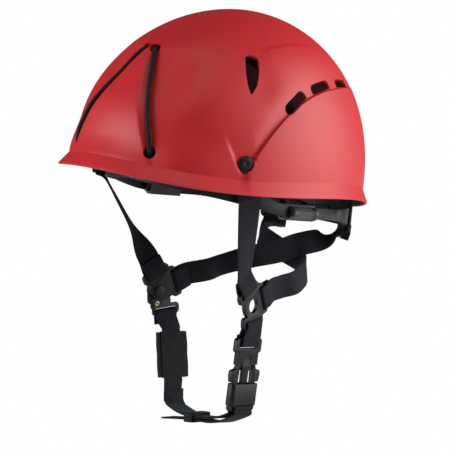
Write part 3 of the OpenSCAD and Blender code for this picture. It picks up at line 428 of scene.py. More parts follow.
# %% Brow
BROW_OUT, BROW_Z, BROW_REACH, FOOT_OUT = 1.6, 62, 34, 3.4
VALLEY_ALL, VALLEY_MID, VALLEY_Z, VALLEY_REACH = 1.5, 4, 72, 18
PANEL_TOP, PANEL_FOOT, PANEL_RADIUS = 99.5, 46.5, 165


def ease(low, high, v):
    s = min(1.0, max(0.0, (v - low) / (high - low)))
    return s * s * (3 - 2 * s)


def spread(v, w):
    return math.exp(-(v / w) ** 2)


def brow_bulge(t, z):
    return ease(60, 38, abs(t)) * (BROW_OUT * spread(z - BROW_Z, BROW_REACH) + FOOT_OUT * ease(34, 6, z))


def valley(z):
    dip = VALLEY_ALL * ease(4, 14, z) + VALLEY_MID * spread(z - VALLEY_Z, VALLEY_REACH)
    return dip * ease(99, 91, z)


def panel_half(z):
    return PANEL_FOOT * max(0.0, 1 - max(z, 0) / PANEL_TOP)


def flatness(t, z):
    across = min(1.0, SHELL_A * dome_r(z) * deg_sin(t) / max(panel_half(z), 1))
    return panel_half(z) ** 2 / (2 * PANEL_RADIUS) * (1 - across * across) * ease(5, 26, z)


def brow(t, z):
    side = abs(t - 360 if t > 180 else t)
    if side > 90:
        return 0.0
    return (brow_bulge(side, z) * ease(22, 38, side) - valley(z) * ease(42, 21, side)
            - flatness(side, z))


def dome_pt(t, z):
    return plain_pt(t, z) + dome_n(t, z) * brow(t, z)


def rim_z(t):
    return 3.7 * deg_cos(t) - 2.6 * deg_cos(2 * t) + 3.3 * deg_cos(3 * t)


print("the brow dips by", round(-brow(0, VALLEY_Z), 1), "mm")

# %% [markdown]
# The outside isn't plain: a tapered panel stands out over the brow, each flank has a
# panel that steps up behind the rivet, a sharp notch runs down to the rivet, a soft ridge
# crosses above the vents, a shallow dish surrounds the teardrop vent and the lamp cords
# lie in grooves. `relief` gives how far the skin stands off the dome, in millimetres.

# %% Lines of the panels and the cords
RIVET_T, RIVET_Z = 61.0, 15.4
STEP_FOOT, STEP_TOP, STEP_BEND = 5, 86.5, 7.8
RIDGE_T, RIDGE_Z = 98, 114
CORD_TOP_Z, CORD_FOOT_Z, CORD_GAP, CORD_BOW = 96.0, 14.7, 3.4, 4.8


def cord_gap(z):
    u = min(1, max(0, (z - CORD_FOOT_Z) / (CORD_TOP_Z - CORD_FOOT_Z)))
    return CORD_GAP + CORD_BOW * deg_sin(180 * u) ** 0.7


def cord_half(z):
    return panel_half(z) + cord_gap(z)


def step_z(t):
    u = max(0, (t - RIVET_T) / (180 - RIVET_T))
    return STEP_FOOT + (STEP_TOP - STEP_FOOT) * (1 - math.exp(-STEP_BEND * u))


def ridge_z(t):
    return RIDGE_Z - 0.0085 * (t - RIDGE_T) ** 2


def notch_t(z):
    return RIVET_T - 0.8 - 8.2 * (max(0, z - 7) / 28) ** 0.9


print("cords apart by", [round(2 * cord_half(z)) for z in (CORD_FOOT_Z, CORD_TOP_Z)], "mm")

# %% Relief of the skin
PANEL_RISE, STEP_RISE, UNDER_DEPTH, NOTCH_DEPTH, DISH_DEPTH, SLOT_DEPTH = 1.6, 1.6, 1.4, 2.2, 1.6, 0.9


def relief(t, z):
    s, side = abs(t), abs(plain_pt(t, z).x)
    over, low = z - step_z(s), z - ridge_z(s)
    front = 1 if s < 90 else 0
    rear = ease(RIVET_T - 1, RIVET_T + 2, s) * ease(142, 120, s)
    slope = min(1, max(0, (side - panel_half(z)) / (cord_gap(z) - 1)))
    panel = front * (1 - slope) * (PANEL_RISE + 0.45 * valley(z)) * ease(PANEL_TOP + 1, PANEL_TOP - 5, z)
    slot = front * spread(side - cord_half(z), 2.6) * ease(8, 18, z) * ease(100, 90, z)
    step = rear * (1 - ease(-0.8, 0.8, over))
    ridge = ease(60, 70, s) * ease(140, 120, s) * (1 - ease(-1, 1, low)) * spread(min(0, low), 25)
    under = rear * ease(-0.8, 0.8, over) * spread(max(0, over), 14)
    notch = ease(-0.9, 0.9, s - notch_t(z)) * ease(-0.8, 0.8, over) * ease(40, 12, z) * ease(5.5, 8.5, z)
    dish = spread(s - RIVET_T - 4, 7) * spread(z - 78, 15)
    return (panel + STEP_RISE * step + ridge - max(UNDER_DEPTH * under, NOTCH_DEPTH * notch)
            - DISH_DEPTH * dish - SLOT_DEPTH * slot)


print("the flank steps up by", round(relief(100, 60) - relief(100, 84), 1), "mm")

# %% [markdown]
# The skin is one long grid: its columns run round the head, and its rows from the inside
# of the crown down the inner wall, round the flared rim and up the outside. The columns
# crowd towards the brow, where the relief is finest. Three rows follow the step line,
# which keeps the step sharp. In front of the rivet no step is left, and they climb, so
# the rows below have room. The seam and the two poles are merged at the end.

# %% Rows of the skin
ROUND, ROWS_OUT, ROWS_IN, STEP_ROW, CROWDING = 450, 150, 22, 62, 25
LINE_FROM, LINE_CLIMB, STEP_HALF = 64.5, 22, 0.85
# Each rim row: its share of the flare, how far inside it lies, and its height
RIM_ROWS = [(0.5, WALL, RIM_H / 2), (0.98, 2.7, 0.9), (1, 2.3, 0.25), (1, 1.2, 0), (1, 0.4, 0.1),
            (1, 0, 0.6)]
FLARE_ROWS = [0.04, 0.3, 0.6, 0.85, 0.94, 0.98]
ROWS = ROWS_IN + 1 + len(RIM_ROWS) + len(FLARE_ROWS) + ROWS_OUT + 1


def height_at(t, u):
    z0 = rim_z(t) + RIM_TOP
    return z0 + (SHELL_H - z0) * deg_sin(90 * u) ** (2 / DOME_Q)


def share_at(t, z):
    z0 = rim_z(t) + RIM_TOP
    return math.degrees(math.asin(((z - z0) / (SHELL_H - z0)) ** (DOME_Q / 2))) / 90


def row_z(t, row):
    line = step_z(max(LINE_FROM, abs(t))) + LINE_CLIMB * ease(62, 50, abs(t))
    at = share_at(t, line)
    if abs(row - STEP_ROW) <= 1:
        return line + STEP_HALF * (row - STEP_ROW)
    if row < STEP_ROW:
        return height_at(t, at * row / STEP_ROW)
    return height_at(t, at + (1 - at) * (row - STEP_ROW) / (ROWS_OUT - STEP_ROW))


def flare(t):
    return RIM_OUT + 1.7 * deg_cos(t)


def rim_point(t, out, up):
    return dome_pt(t, 0) + dome_n(t, 0) * out + Vector((0, 0, rim_z(t) + RIM_TOP - RIM_H + up))


def skin_point(t, row):
    side = t - 360 if t > 180 else t
    if row <= ROWS_IN:
        z = height_at(t, (ROWS_IN - row) / ROWS_IN)
        return dome_pt(t, z) - dome_n(t, z) * WALL
    row -= ROWS_IN + 1
    if row < len(RIM_ROWS):
        share, inside, up = RIM_ROWS[row]
        return rim_point(t, flare(t) * share - inside, up)
    row -= len(RIM_ROWS)
    if row < len(FLARE_ROWS):
        u, crease = FLARE_ROWS[row], relief(side, rim_z(t) + RIM_TOP)
        return rim_point(t, flare(t) * (1 - u) + crease * u, 1 + (RIM_H - 1) * u)
    z = row_z(side, row - len(FLARE_ROWS))
    return dome_pt(t, z) + dome_n(t, z) * relief(side, z)

# %% Shell skin
def shell_skin():
    mesh = new_grid(ROUND, ROWS - 1)
    for v in mesh.verts:
        share = (v.co.x + 1) / 2
        t = 360 * share - CROWDING * math.sin(2 * math.pi * share)
        row = round((v.co.y + 1) / 2 * (ROWS - 1))
        v.co = tip(skin_point(t % 360, row))
    bmesh.ops.remove_doubles(mesh, verts=mesh.verts, dist=0.004)
    bmesh.ops.recalc_face_normals(mesh, faces=mesh.faces)
    return mesh


skin = shell_skin()
open_edges = [e for e in skin.edges if e.is_boundary]
print("shell skin:", len(skin.verts), "points,", len(open_edges), "open edges")

# %% [markdown]
# ## Vents
# Each flank has a tall teardrop vent and three arched ones that stand on the step line.
# A cutter is a flat outline pushed through the wall, and a Boolean modifier takes all
# of them out of the skin at once. The result is read back as a mesh.

# %% Cutting tools
def on_shell(t, z):
    n = dome_n(t, z)
    x = Vector((0, 0, 1)).cross(n).normalized()
    y = n.cross(x)
    m = Matrix((x, y, n)).transposed().to_4x4()
    m.translation = dome_pt(t, z)
    return Matrix.Rotation(-PITCH, 4, "X") @ m


CUT_DEPTH = 12


def prism(outline, place):
    mesh = bmesh.new()
    ring = [mesh.verts.new((x, y, -CUT_DEPTH)) for x, y in outline]
    face = mesh.faces.new(ring)
    lifted = bmesh.ops.extrude_face_region(mesh, geom=[face])
    top = [v for v in lifted["geom"] if isinstance(v, bmesh.types.BMVert)]
    bmesh.ops.translate(mesh, verts=top, vec=(0, 0, 2 * CUT_DEPTH))
    bmesh.ops.recalc_face_normals(mesh, faces=mesh.faces)
    mesh.transform(place)
    if mesh.calc_volume(signed=True) < 0:
        bmesh.ops.reverse_faces(mesh, faces=mesh.faces)
    return mesh


def arc(cx, cy, r, start, end, n):
    turns = [start + (end - start) * i / n for i in range(n + 1)]
    return [(cx + r * deg_cos(a), cy + r * deg_sin(a)) for a in turns]


print("flank at", [round(c, 1) for c in on_shell(90, 40).translation], "mm")

# %% Outlines of the vents
def teardrop_outline():
    left = [(-6.4, 8), (-6.8, 1.6), (-6.6, -3), (-6.1, -7.7), (-5.5, -11), (-4.9, -13.4), (-4.2, -15.5)]
    right = [(-2.0, -15.6), (-0.6, -13.4), (1.1, -10.5), (2.6, -7.7), (3.8, -3), (4.7, 1.6), (5.2, 8)]
    return arc(-0.2, 14.1, 5.8, 0, 180, 22) + left + [(-3.3, -16.8)] + right


def arch_outline(w, h):
    r = h * 0.6
    right, left = (w / 2 - h * 0.62, h * 0.4), (-(w / 2 - h * 0.62), h * 0.4)
    return (arc(*right, r, -30, 90, 12) + arc(*left, r, 90, 210, 12)
            + arc(-(w / 2 - 1), 0.8, 0.8, 215, 270, 3) + arc(w / 2 - 1, 0.8, 0.8, 270, 325, 3))


print("outline points:", len(teardrop_outline()), len(arch_outline(28, 8)))

# %% Cutters for the vents
TEARDROP_T, TEARDROP_Z = 60.5, 84
# Each arched vent: angle round the head, width, height, tilt, gap above the step line
ARCH_VENTS = [(81.8, 28.5, 8.8, 40, -0.9), (97, 28, 8, 17, 0.8), (117.5, 26, 7, 3, 0.8)]
cutters = bmesh.new()
for side in (1, -1):
    flip = Matrix.Scale(side, 4, (1, 0, 0))
    shapes = [(teardrop_outline(), on_shell(TEARDROP_T, TEARDROP_Z))]
    for t, w, h, tilt, gap in ARCH_VENTS:
        tilted = Matrix.Rotation(math.radians(tilt), 4, "Z")
        shapes.append((arch_outline(w, h), on_shell(t, step_z(t) + gap) @ tilted))
    for outline, place in shapes:
        part = prism(outline, flip @ place)
        held = bpy.data.meshes.new("cutter")
        part.to_mesh(held)
        part.free()
        cutters.from_mesh(held)
        bpy.data.meshes.remove(held)
print("cutters:", len(cutters.faces), "faces")

# %% [markdown]
# The rivets and the ends of the cords sit in round holes. Each hole has a wider, shallow
# seat on the outside, so it takes two cutters: a narrow one through the wall, and
# a wide one that stops in it.

# %% Holes for the rivets and the cords
REAR_T, REAR_Z = 155.0, 8.0


def cord_t(z):
    return math.degrees(math.asin(cord_half(z) / (SHELL_A * dome_r(z))))


def add_round_cutter(mesh, place, radius, low, high):
    middle = Matrix.Translation((0, 0, (low + high) / 2))
    bmesh.ops.create_cone(mesh, cap_ends=True, segments=40, radius1=radius, radius2=radius,
                          depth=high - low, matrix=place @ middle)


RIVET_HOLE, CORD_HOLE = (2.8, 6.3, -1.6), (4.1, 4.9, -2.2)
ROUND_HOLES = [(RIVET_T, RIVET_Z, *RIVET_HOLE), (REAR_T, REAR_Z, *RIVET_HOLE)]
ROUND_HOLES += [(cord_t(z), z, *CORD_HOLE) for z in (CORD_TOP_Z, CORD_FOOT_Z)]
seats = bmesh.new()
for side in (1, -1):
    for t, z, bore, seat, seat_floor in ROUND_HOLES:
        add_round_cutter(cutters, on_shell(side * t, z), bore, -9, 6)
        add_round_cutter(seats, on_shell(side * t, z), seat, seat_floor, 7)
print("cutters with holes:", len(cutters.faces), "faces")

# %% [markdown]
# A Boolean modifier works on objects, so `cut` makes two of them for a moment and removes
# them again. The faces of the inner wall look back at the middle of the head, which is
# how the last loop finds them.

# %% Cut the shell
def read_back(piece):
    bpy.context.view_layer.update()
    mesh = bmesh.new()
    mesh.from_object(piece, bpy.context.evaluated_depsgraph_get())
    return mesh


def hold(mesh):
    thing = bpy.data.objects.new("held", bpy.data.meshes.new("held"))
    mesh.to_mesh(thing.data)
    scene.collection.objects.link(thing)
    return thing


def cut(mesh, knives):
    body, knife = hold(mesh), hold(knives)
    boolean = body.modifiers.new("vents", "BOOLEAN")
    boolean.operation, boolean.object, boolean.solver = "DIFFERENCE", knife, "EXACT"
    done = read_back(body)
    for thing in (body, knife):
        data = thing.data
        bpy.data.objects.remove(thing)
        bpy.data.meshes.remove(data)
    return done


HEAD_MIDDLE = Vector((0, 0, 0.03))
whole = len(skin.verts)
vented = cut(skin, cutters)
skin_cut = cut(vented, seats)
for spent in (skin, vented, cutters, seats):
    spent.free()
print("skin points", whole, "->", len(skin_cut.verts))
shell = show("shell-skin", skin_cut, shell_red, "helmet", ("shell",), sharp=40)
shell.data.materials.append(shell_inside_painted_shade)
# The faces of the inner wall get the second material, whose darker red is painted shade
for face in shell.data.polygons:
    if face.normal.dot((face.center - HEAD_MIDDLE).normalized()) < -0.5:
        face.material_index = 1
print("shell triangles:", sum(len(p.vertices) - 2 for p in shell.data.polygons))

# %% [markdown]
# ## Webbing
# A strap is a ribbon that follows a smooth line through a few stations. Each station has
# a point and the direction of the strap's width there. The ribbon starts as a grid, its
# columns are laid along the line, and two modifiers give it its thickness and its soft
# edges. The UV map stores millimetres along and across, for the weave.

# %% Smooth lines
def curve4(a, b, c, d, u):
    square, cube = a * 2 - b * 5 + c * 4 - d, b * 3 - a - c * 3 + d
    return (b * 2 + (c - a) * u + square * u * u + cube * u ** 3) * 0.5


def through(points, n):
    last = len(points) - 1
    line = []
    for i in range(last):
        a, b = points[max(i - 1, 0)], points[i]
        c, d = points[i + 1], points[min(i + 2, last)]
        line += [curve4(a, b, c, d, k / n) for k in range(n)]
    return line + [points[last]]


def heading(line, i):
    return (line[min(i + 1, len(line) - 1)] - line[max(i - 1, 0)]).normalized()

# %% Ribbon maker
STRAP_W, STRAP_T, CLEAR = 20.0, 1.4, 0.3


def give_wall(piece, thick, round_edge, steps):
    wall = piece.modifiers.new("thickness", "SOLIDIFY")
    wall.thickness, wall.offset = thick * MM, 0
    soft = piece.modifiers.new("soft_edges", "BEVEL")
    soft.width, soft.segments, soft.limit_method = round_edge * MM, steps, "ANGLE"


def ribbon(node, stations, body="helmet", width=STRAP_W, n=6, across=8):
    mid, wide = [through([Vector(s[k]) for s in stations], n) for k in (0, 1)]
    last = len(mid) - 1
    run = [0.0]
    for a, b in zip(mid, mid[1:]):
        run.append(run[-1] + (b - a).length)
    mesh = new_grid(last, across)
    weave = mesh.loops.layers.uv.new("weave")
    places = {v: (column_of(v, last), v.co.y) for v in mesh.verts}
    for face in mesh.faces:
        for loop in face.loops:
            i, c = places[loop.vert]
            loop[weave].uv = (run[i] * MM, c * width / 2 * MM)
    for v, (i, c) in places.items():
        d = heading(mid, i)
        a = (wide[i] - d * wide[i].dot(d)).normalized()
        v.co = mid[i] + a * (c * width / 2)
    strap = show(node.replace("_", "-"), mesh, strap_weave, body, (node,), sharp=80)
    give_wall(strap, STRAP_T, 0.45, 2)
    print(strap.name, "length", round(run[-1]), "mm")

# %% [markdown]
# The stations come from the pieces that the straps run through, so the helpers below
# give points in the frame of a cradle clip, an anchor plate and a junction ring. A strap
# ends in a loop round a bar, sewn back on itself. Such a loop is a list of pairs: how far
# along the strap and how far off the plate. `there_and_back` mirrors half a loop.

# %% Frames of clips, anchors and rings
CLIP_T, CLIP_Z, CLIP_SINK = (42, 88, 131), 20.0, WALL + 4.1
ANCHOR_T, ANCHOR_GAP, FRONT_TURN = 2.4, 3.4, 22
BEHIND = WALL + ANCHOR_GAP + ANCHOR_T
YOKE_OUT, YOKE_DROP, YOKE_T, EAR_R = 49.0, 102.0, 3.6, 13.0
FRONT_EAR, REAR_EAR, LOW_EAR = -24, 74, 180
OFF_BAR = ANCHOR_T / 2 + STRAP_T / 2 + CLEAR + 0.15
EAR_OFF = YOKE_T / 2 + STRAP_T / 2 + CLEAR
YOKE_N = Vector((0.97, 0.16, 0)).normalized()
UP = Vector((0, 0, 1))
YOKE_X = UP.cross(YOKE_N).normalized()
YOKE_LEFT = Vector((YOKE_OUT, -12.5, -YOKE_DROP))
YOKE_RIGHT = Vector((YOKE_OUT + 6, -18, -YOKE_DROP - 1))


def lerp(a, b, u):
    return a * (1 - u) + b * u


def clip_x(t):
    return UP.cross(dome_n(t, CLIP_Z)).normalized()


def clip_pt(t, along, out):
    n = dome_n(t, CLIP_Z)
    return dome_pt(t, CLIP_Z) - n * CLIP_SINK + n.cross(clip_x(t)) * along + n * out


def anchor_pt(t, z, along, out, turn=0):
    n = dome_n(t, z)
    x = UP.cross(n).normalized()
    return tip(dome_pt(t, z) + n * (out - BEHIND + ANCHOR_T / 2)
               + (n.cross(x) * deg_cos(turn) - x * deg_sin(turn)) * along)


def anchor_x(t, z, turn=0):
    n = dome_n(t, z)
    x = UP.cross(n).normalized()
    return tip(x * deg_cos(turn) + n.cross(x) * deg_sin(turn))


def ear_pt(at, a, along, out):
    return at + (YOKE_X * deg_sin(a) + UP * deg_cos(a)) * (EAR_R + along) + YOKE_N * out


def ear_x(a):
    return YOKE_X * deg_cos(a) - UP * deg_sin(a)


def there_and_back(half):
    return half + [(along, -out) for along, out in half[::-1]]


def to_right(stations):
    return [(Vector((-p[0], p[1], p[2])), Vector((-w[0], w[1], w[2]))) for p, w in stations]


print("junction rings at", tuple(YOKE_LEFT), tuple(YOKE_RIGHT))

# %% [markdown]
# Three crown straps carry the head. Each runs from a clip on one side over the crown to
# a clip on the other, and they are stacked and sewn where they cross.

# %% Crown straps
CROWN_Z, CRADLE_W = 98.0, 16.0
LOOP_IN = 2.2 / 2 + STRAP_T / 2 + CLEAR
CLIP_LOOP = [(9, -3.9), (-1, -3.9), (-5, -2.7), (-7.6, -2.1), (-8.8, -1), (-9.1, 0.4), (-9.4, 1.6),
             (-10.9, LOOP_IN), (-13.4, LOOP_IN), (-15.7, 1.4), (-16.3, 0), (-15.9, -2), (-12.8, -4.4),
             (-6, -5.6), (8, -5.9)]


def half_crown(t, s, lift):
    x, top = clip_x(t) * s, clip_pt(t, 0, -LOOP_IN - 5)
    loop = [(clip_pt(t, a, o), x) for a, o in CLIP_LOOP]
    return loop + [(Vector((top.x * f, top.y * f, z)), x)
                   for f, z in ((0.86, 46), (0.66, 74), (0.36, CROWN_Z + lift - 6))]


def crown_strap(node, ta, tb, lift):
    line = half_crown(ta, 1, lift) + [(Vector((0, 0, CROWN_Z + lift)), clip_x(ta))]
    line += half_crown(tb, -1, lift)[::-1]
    ribbon(node, [(tip(p), tip(w)) for p, w in line], width=CRADLE_W, n=4, across=6)


crown_strap("crown_strap_cross", CLIP_T[1], -CLIP_T[1], 0)
crown_strap("crown_strap_diagonal_a", CLIP_T[0], -CLIP_T[2], STRAP_T + 2 * CLEAR)
crown_strap("crown_strap_diagonal_b", -CLIP_T[0], CLIP_T[2], 2 * (STRAP_T + CLEAR) + 1.2)

# %% [markdown]
# The front straps hang from the anchors beside the temples, the right one twisted edge on
# to the view. The rear straps start at the junction rings too, but each crosses behind the
# neck to the anchor of the other side, which is why they make an X when seen from behind.
# One passes `NECK_GAP` behind the middle line, and the other as far before it.

# %% Front and rear straps
ANCHOR_LOOP = there_and_back([(-27, 1.2), (-20.2, OFF_BAR - 0.1), (-15.6, OFF_BAR),
                              (-13.3, OFF_BAR + 0.2), (-12, ANCHOR_T / 2)])
EAR_LOOP = there_and_back([(16, 1.2), (7.4, EAR_OFF - 0.1), (3.6, EAR_OFF), (1.4, EAR_OFF + 0.2),
                           (0, YOKE_T / 2)])[:-1] + [(15, -1.2)]
REAR_LOOP = [(-52, 0.6), (-46.4, OFF_BAR - 0.1), (-41.6, OFF_BAR), (-39.3, OFF_BAR + 0.2),
             (-38, ANCHOR_T / 2), (-38, -ANCHOR_T / 2), (-39.3, -OFF_BAR - 0.2), (-41.8, -OFF_BAR),
             (-45.5, -OFF_BAR - 1.2), (-48.5, -OFF_BAR - 4.5), (-50, -OFF_BAR - 9)]


def front_pt(along, out):
    return anchor_pt(RIVET_T, RIVET_Z, along, out, FRONT_TURN)


def front_stations(at, twist=None):
    x, ear = anchor_x(RIVET_T, RIVET_Z, FRONT_TURN), ear_x(FRONT_EAR)
    start, end = front_pt(-27, -1.2), ear_pt(at, FRONT_EAR, 16, 1.2)
    free = []
    for u, turned in ((0.1, 0), (0.35, 0), (0.65, 0.15), (0.9, 0.8)):
        wide = lerp(x, ear, u) if twist is None else lerp(twist, ear, turned)
        free.append((lerp(start, end, u), wide))
    return ([(front_pt(a, o), x) for a, o in ANCHOR_LOOP] + free
            + [(ear_pt(at, FRONT_EAR, a, o), ear) for a, o in EAR_LOOP])


def rear_stations(at, gap):
    xa, xe = anchor_x(-REAR_T, REAR_Z), ear_x(REAR_EAR)
    behind_neck = [((44.5, 28, -93.5), (0, 0.15, -0.95)), ((45, 46, -92), (0.1, 0.2, -0.95)),
                   ((30, 69 + gap, -86), (0, 0.05, -0.98)), ((0, 72 + gap, -77), (0, 0, -1)),
                   ((-25, 70.5 + gap, -67), (-0.1, -0.1, -0.97)),
                   ((-32.6, 87.5, -64.5), (-0.55, -0.35, -0.75))]
    return ([(ear_pt(at, REAR_EAR, a, o), xe) for a, o in EAR_LOOP[::-1]] + behind_neck
            + [(anchor_pt(-REAR_T, REAR_Z, a, o), xa) for a, o in REAR_LOOP[::-1]])


EDGE_ON, NECK_GAP = Vector((0.72, 0.70, -0.14)), 3.4
ribbon("front_strap_left", front_stations(YOKE_LEFT))
ribbon("front_strap_right", to_right(front_stations(YOKE_RIGHT, EDGE_ON)))
ribbon("rear_strap_left", rear_stations(YOKE_LEFT, NECK_GAP))
ribbon("rear_strap_right", to_right(rear_stations(YOKE_RIGHT, -NECK_GAP)))

# %% [markdown]
# The chin strap is two ribbons. On the wearer's right a short strap hangs from the
# breakaway clip and ends under the chin. The long one starts there, passes under the
# chin, turns round the bar of the female buckle half and comes back as the loose tail.

# %% Frames of the breakaway and the buckle
BODY_T, CLIP_SLOT = 2.4, (6, -21)
BODY_Z = YOKE_T / 2 + CLEAR
FEMALE_L, MALE_L, MALE_T = 23, 38, 4.6
BUCKLE_Y, BUCKLE_X = Vector((0, 0.18, 0.984)).normalized(), Vector((0, 0.984, -0.18)).normalized()
MOUTH = Vector((YOKE_OUT - 2, -14.5, -YOKE_DROP - 27.5)) - BUCKLE_Y * MALE_L
DOWN_W = Vector((0, 0.98, -0.19))
SLOT_OFF = BODY_T / 2 + STRAP_T / 2 + CLEAR + 0.15
SLOT_X = Vector((-YOKE_X.x, YOKE_X.y, YOKE_X.z))
COVER_L, COVER_T, COVER_W = 40.0, 1.5, STRAP_W + 9
COVER_TOP = Vector((-51, -11, -143))
COVER_Y = -Vector((9, -6.5, -38)).normalized()
COVER_LOW = COVER_TOP - COVER_Y * COVER_L
COVER_MID = lerp(COVER_TOP, COVER_LOW, 0.5)
COVER_X = (Vector((0, 1, 0)) - COVER_Y * COVER_Y.y).normalized()
COVER_IN = COVER_X.cross(COVER_Y)


def buckle_pt(x, y, z):
    return MOUTH + BUCKLE_X * x + BUCKLE_Y * y + Vector((z, 0, 0))


def slot_pt(along, out):
    across, low = CLIP_SLOT
    v = YOKE_RIGHT + YOKE_X * across + UP * (low + along) + YOKE_N * (BODY_Z + BODY_T / 2 + out)
    return Vector((-v.x, v.y, v.z))


print("mouth of the buckle", tuple(round(c, 1) for c in MOUTH))

# %% Chin straps
SLOT_LOOP = [(-13, 1.8), (-7.6, SLOT_OFF), (-3.6, SLOT_OFF), (-1.4, SLOT_OFF + 0.2), (0, BODY_T / 2),
             (0, -BODY_T / 2), (-1.4, -SLOT_OFF - 0.2), (-3.6, -SLOT_OFF), (-7.6, -SLOT_OFF + 0.1)]
CHIN_X = -41
right_chin = [(slot_pt(a, o), SLOT_X) for a, o in SLOT_LOOP]
right_chin += [(p, COVER_X) for p in (COVER_TOP + COVER_Y * 4, COVER_TOP, COVER_MID, COVER_LOW,
                                      COVER_LOW - COVER_Y * 3)]
right_chin += [((CHIN_X, COVER_LOW.y - d, z), DOWN_W)
               for d, z in ((1.2, -190), (1.4, -195), (1.6, -200.5))]
ribbon("chin_strap_right", right_chin, "breakaway")

BAR_HALF = 2.5
LAP_X = CHIN_X + STRAP_T + 3 * CLEAR
KEEP_AT = Vector((4, -33, -202.8))
bar, turn = buckle_pt(0, -FEMALE_L + 4, 0), BAR_HALF + STRAP_T / 2 + 1.5 * CLEAR
under = [(p, DOWN_W) for p in ((LAP_X, COVER_LOW.y - 1.4, -192), (LAP_X, COVER_LOW.y - 1.6, -196),
                               (LAP_X + 1.4, -20, -200.6), (-28, -25, -202.4), (0, -33, -202),
                               (26, -29, -199.5))]
under += [(bar - BUCKLE_Y * a + Vector((o, 0, 0)), BUCKLE_X)
          for a, o in ((7, -turn - 0.4), (3.6, -turn), (1.4, -turn - 0.2), (0, -BAR_HALF),
                       (0, BAR_HALF), (1.4, turn + 0.2), (3.6, turn), (7, turn - 0.2))]
under += [(p, DOWN_W) for p in ((36, -29.5, -200), (25, -31, -203), KEEP_AT + Vector((6, 0.8, -1.3)),
                                KEEP_AT + Vector((-6, -1.2, -2.5)), (-14, -37, -206.8),
                                (-25, -40, -208.2))]
ribbon("chin_strap_bottom", under, "buckle_lower")

# %% [markdown]
# A last short strap joins the left ring to the male half of the buckle. It is a closed
# loop round both bars, and its ends meet on the inside.

# %% Loop between the left ring and the buckle
m_off = MALE_T / 2 + STRAP_T / 2 + 2 * CLEAR
gap_in = buckle_pt(0, MALE_L + 2.6, -m_off + 0.2)
gap_out = lerp(ear_pt(YOKE_LEFT, LOW_EAR, 7, EAR_OFF), buckle_pt(0, MALE_L, m_off), 0.5)
male_bar = buckle_pt(0, MALE_L - 6.5, 0)
short = [(gap_in + Vector((0, 0, 0.3)), -YOKE_X)]
short += [(ear_pt(YOKE_LEFT, LOW_EAR, a, o), -YOKE_X)
          for a, o in ((5.8, -EAR_OFF - 0.5), (3.6, -EAR_OFF), (1.4, -EAR_OFF - 0.2), (0, -YOKE_T / 2),
                       (0, YOKE_T / 2), (1.4, EAR_OFF + 0.2), (5, EAR_OFF))]
short += [(gap_out, -lerp(YOKE_X, BUCKLE_X, 0.5))]
short += [(male_bar + BUCKLE_Y * a + Vector((o, 0, 0)), -BUCKLE_X)
          for a, o in ((3.6, m_off), (1.4, m_off + 0.2), (0, MALE_T / 2), (0, -MALE_T / 2),
                       (1.4, -m_off - 0.2), (3.6, -m_off))]
short += [(gap_in + Vector((0, 0, -0.3)), -BUCKLE_X)]
ribbon("buckle_strap_left", short)

# %% [markdown]
# ## Moulded pieces
# Most of the small parts are injection-moulded, and their solids already have the right
# shape. They need a finish and soft edges. The table says which finish and which moving
# body each one has, and how round its edges are in millimetres.

# %% Clips, rivets, rings and the buckle
def pairs_of(names):
    return " ".join(name + side for name in names.split() for side in ("_left", "_right"))


PAIRS = pairs_of("rivet strap_anchor front_clip side_clip rear_clip rear_rivet rear_anchor yoke_ring")
MOULDED = [
    ("helmet", black_nylon, "black_plastic", 0.4, PAIRS + " release_knob headband"),
    ("helmet", black_nylon, "black_plastic", 0.7, "buckle_male"),
    ("helmet", strap_weave, "black_plastic", 0.4, "crown_patch"),
    ("helmet", grey_nylon, "grey_plastic", 0.5, pairs_of("size_adjuster")),
    ("nape", black_nylon, "black_plastic", 0.4, "nape_band"),
    ("roller_left", grey_nylon, "grey_plastic", 0.15, "thumb_roller_left"),
    ("roller_right", grey_nylon, "grey_plastic", 0.15, "thumb_roller_right"),
    ("breakaway", black_nylon, "black_plastic", 0.4, "release_clip"),
    ("breakaway", eyelet_brass, "eyelet_brass", 0.15, "release_eyelet"),
    ("breakaway", spring_steel, "spring_wire", 0, "release_wire"),
    ("buckle_lower", black_nylon, "black_plastic", 0.8, "buckle_female"),
    ("buckle_lower", cord_braid, "elastic", 0.6, "strap_keeper"),
    ("prong_front", black_nylon, "black_plastic", 0.5, "buckle_prong_front"),
    ("prong_rear", black_nylon, "black_plastic", 0.5, "buckle_prong_rear"),
]
for body, finish, slot, edge, nodes in MOULDED:
    for node in nodes.split():
        moulded(node, finish, body, edge)
    print(body, len(nodes.split()), "pieces")

# %% [markdown]
# The grommets and stoppers of the lamp cords move onto the skin. The CAD shell bulges where
# the skin is flatter, and its cord holes lie 41 and 8.44 mm from the middle.

# %% Fittings of the lamp cords
CAD_FOOT_HALF, CAD_TOP_HALF, BETWEEN_Z = 41.0, 8.44, 70


def move_onto_skin(half, z):
    t = math.degrees(math.asin(half / (SHELL_A * dome_r(z))))
    solid = plain_pt(t, z) + dome_n(t, z) * brow_bulge(t, z)
    return tip(dome_pt(cord_t(z), z) - solid)


FOOT_MOVE = move_onto_skin(CAD_FOOT_HALF, CORD_FOOT_Z)
TOP_MOVE = move_onto_skin(CAD_TOP_HALF, CORD_TOP_Z)


def seat_fitting(co):
    move = FOOT_MOVE if co.z < BETWEEN_Z else TOP_MOVE
    return Vector((math.copysign(1, co.x) * move.x, move.y, move.z))


for node in ("cord_grommets", "cord_stoppers"):
    moulded(node, black_nylon, "helmet", 0.4, seat=seat_fitting)
print("fittings moved by", [round(m.length, 1) for m in (FOOT_MOVE, TOP_MOVE)], "mm")

# %% [markdown]
# ## Pads
# The brow and nape pads are foam under knitted cloth. Each starts as a slim slab that
# follows its band, and a short cloth simulation blows it up a little, so its faces crown
# and its edges pull in between the corners as sewn foam does. Gravity is off, and no
# point may move more than 1.8 mm, so the pad stays on its band.

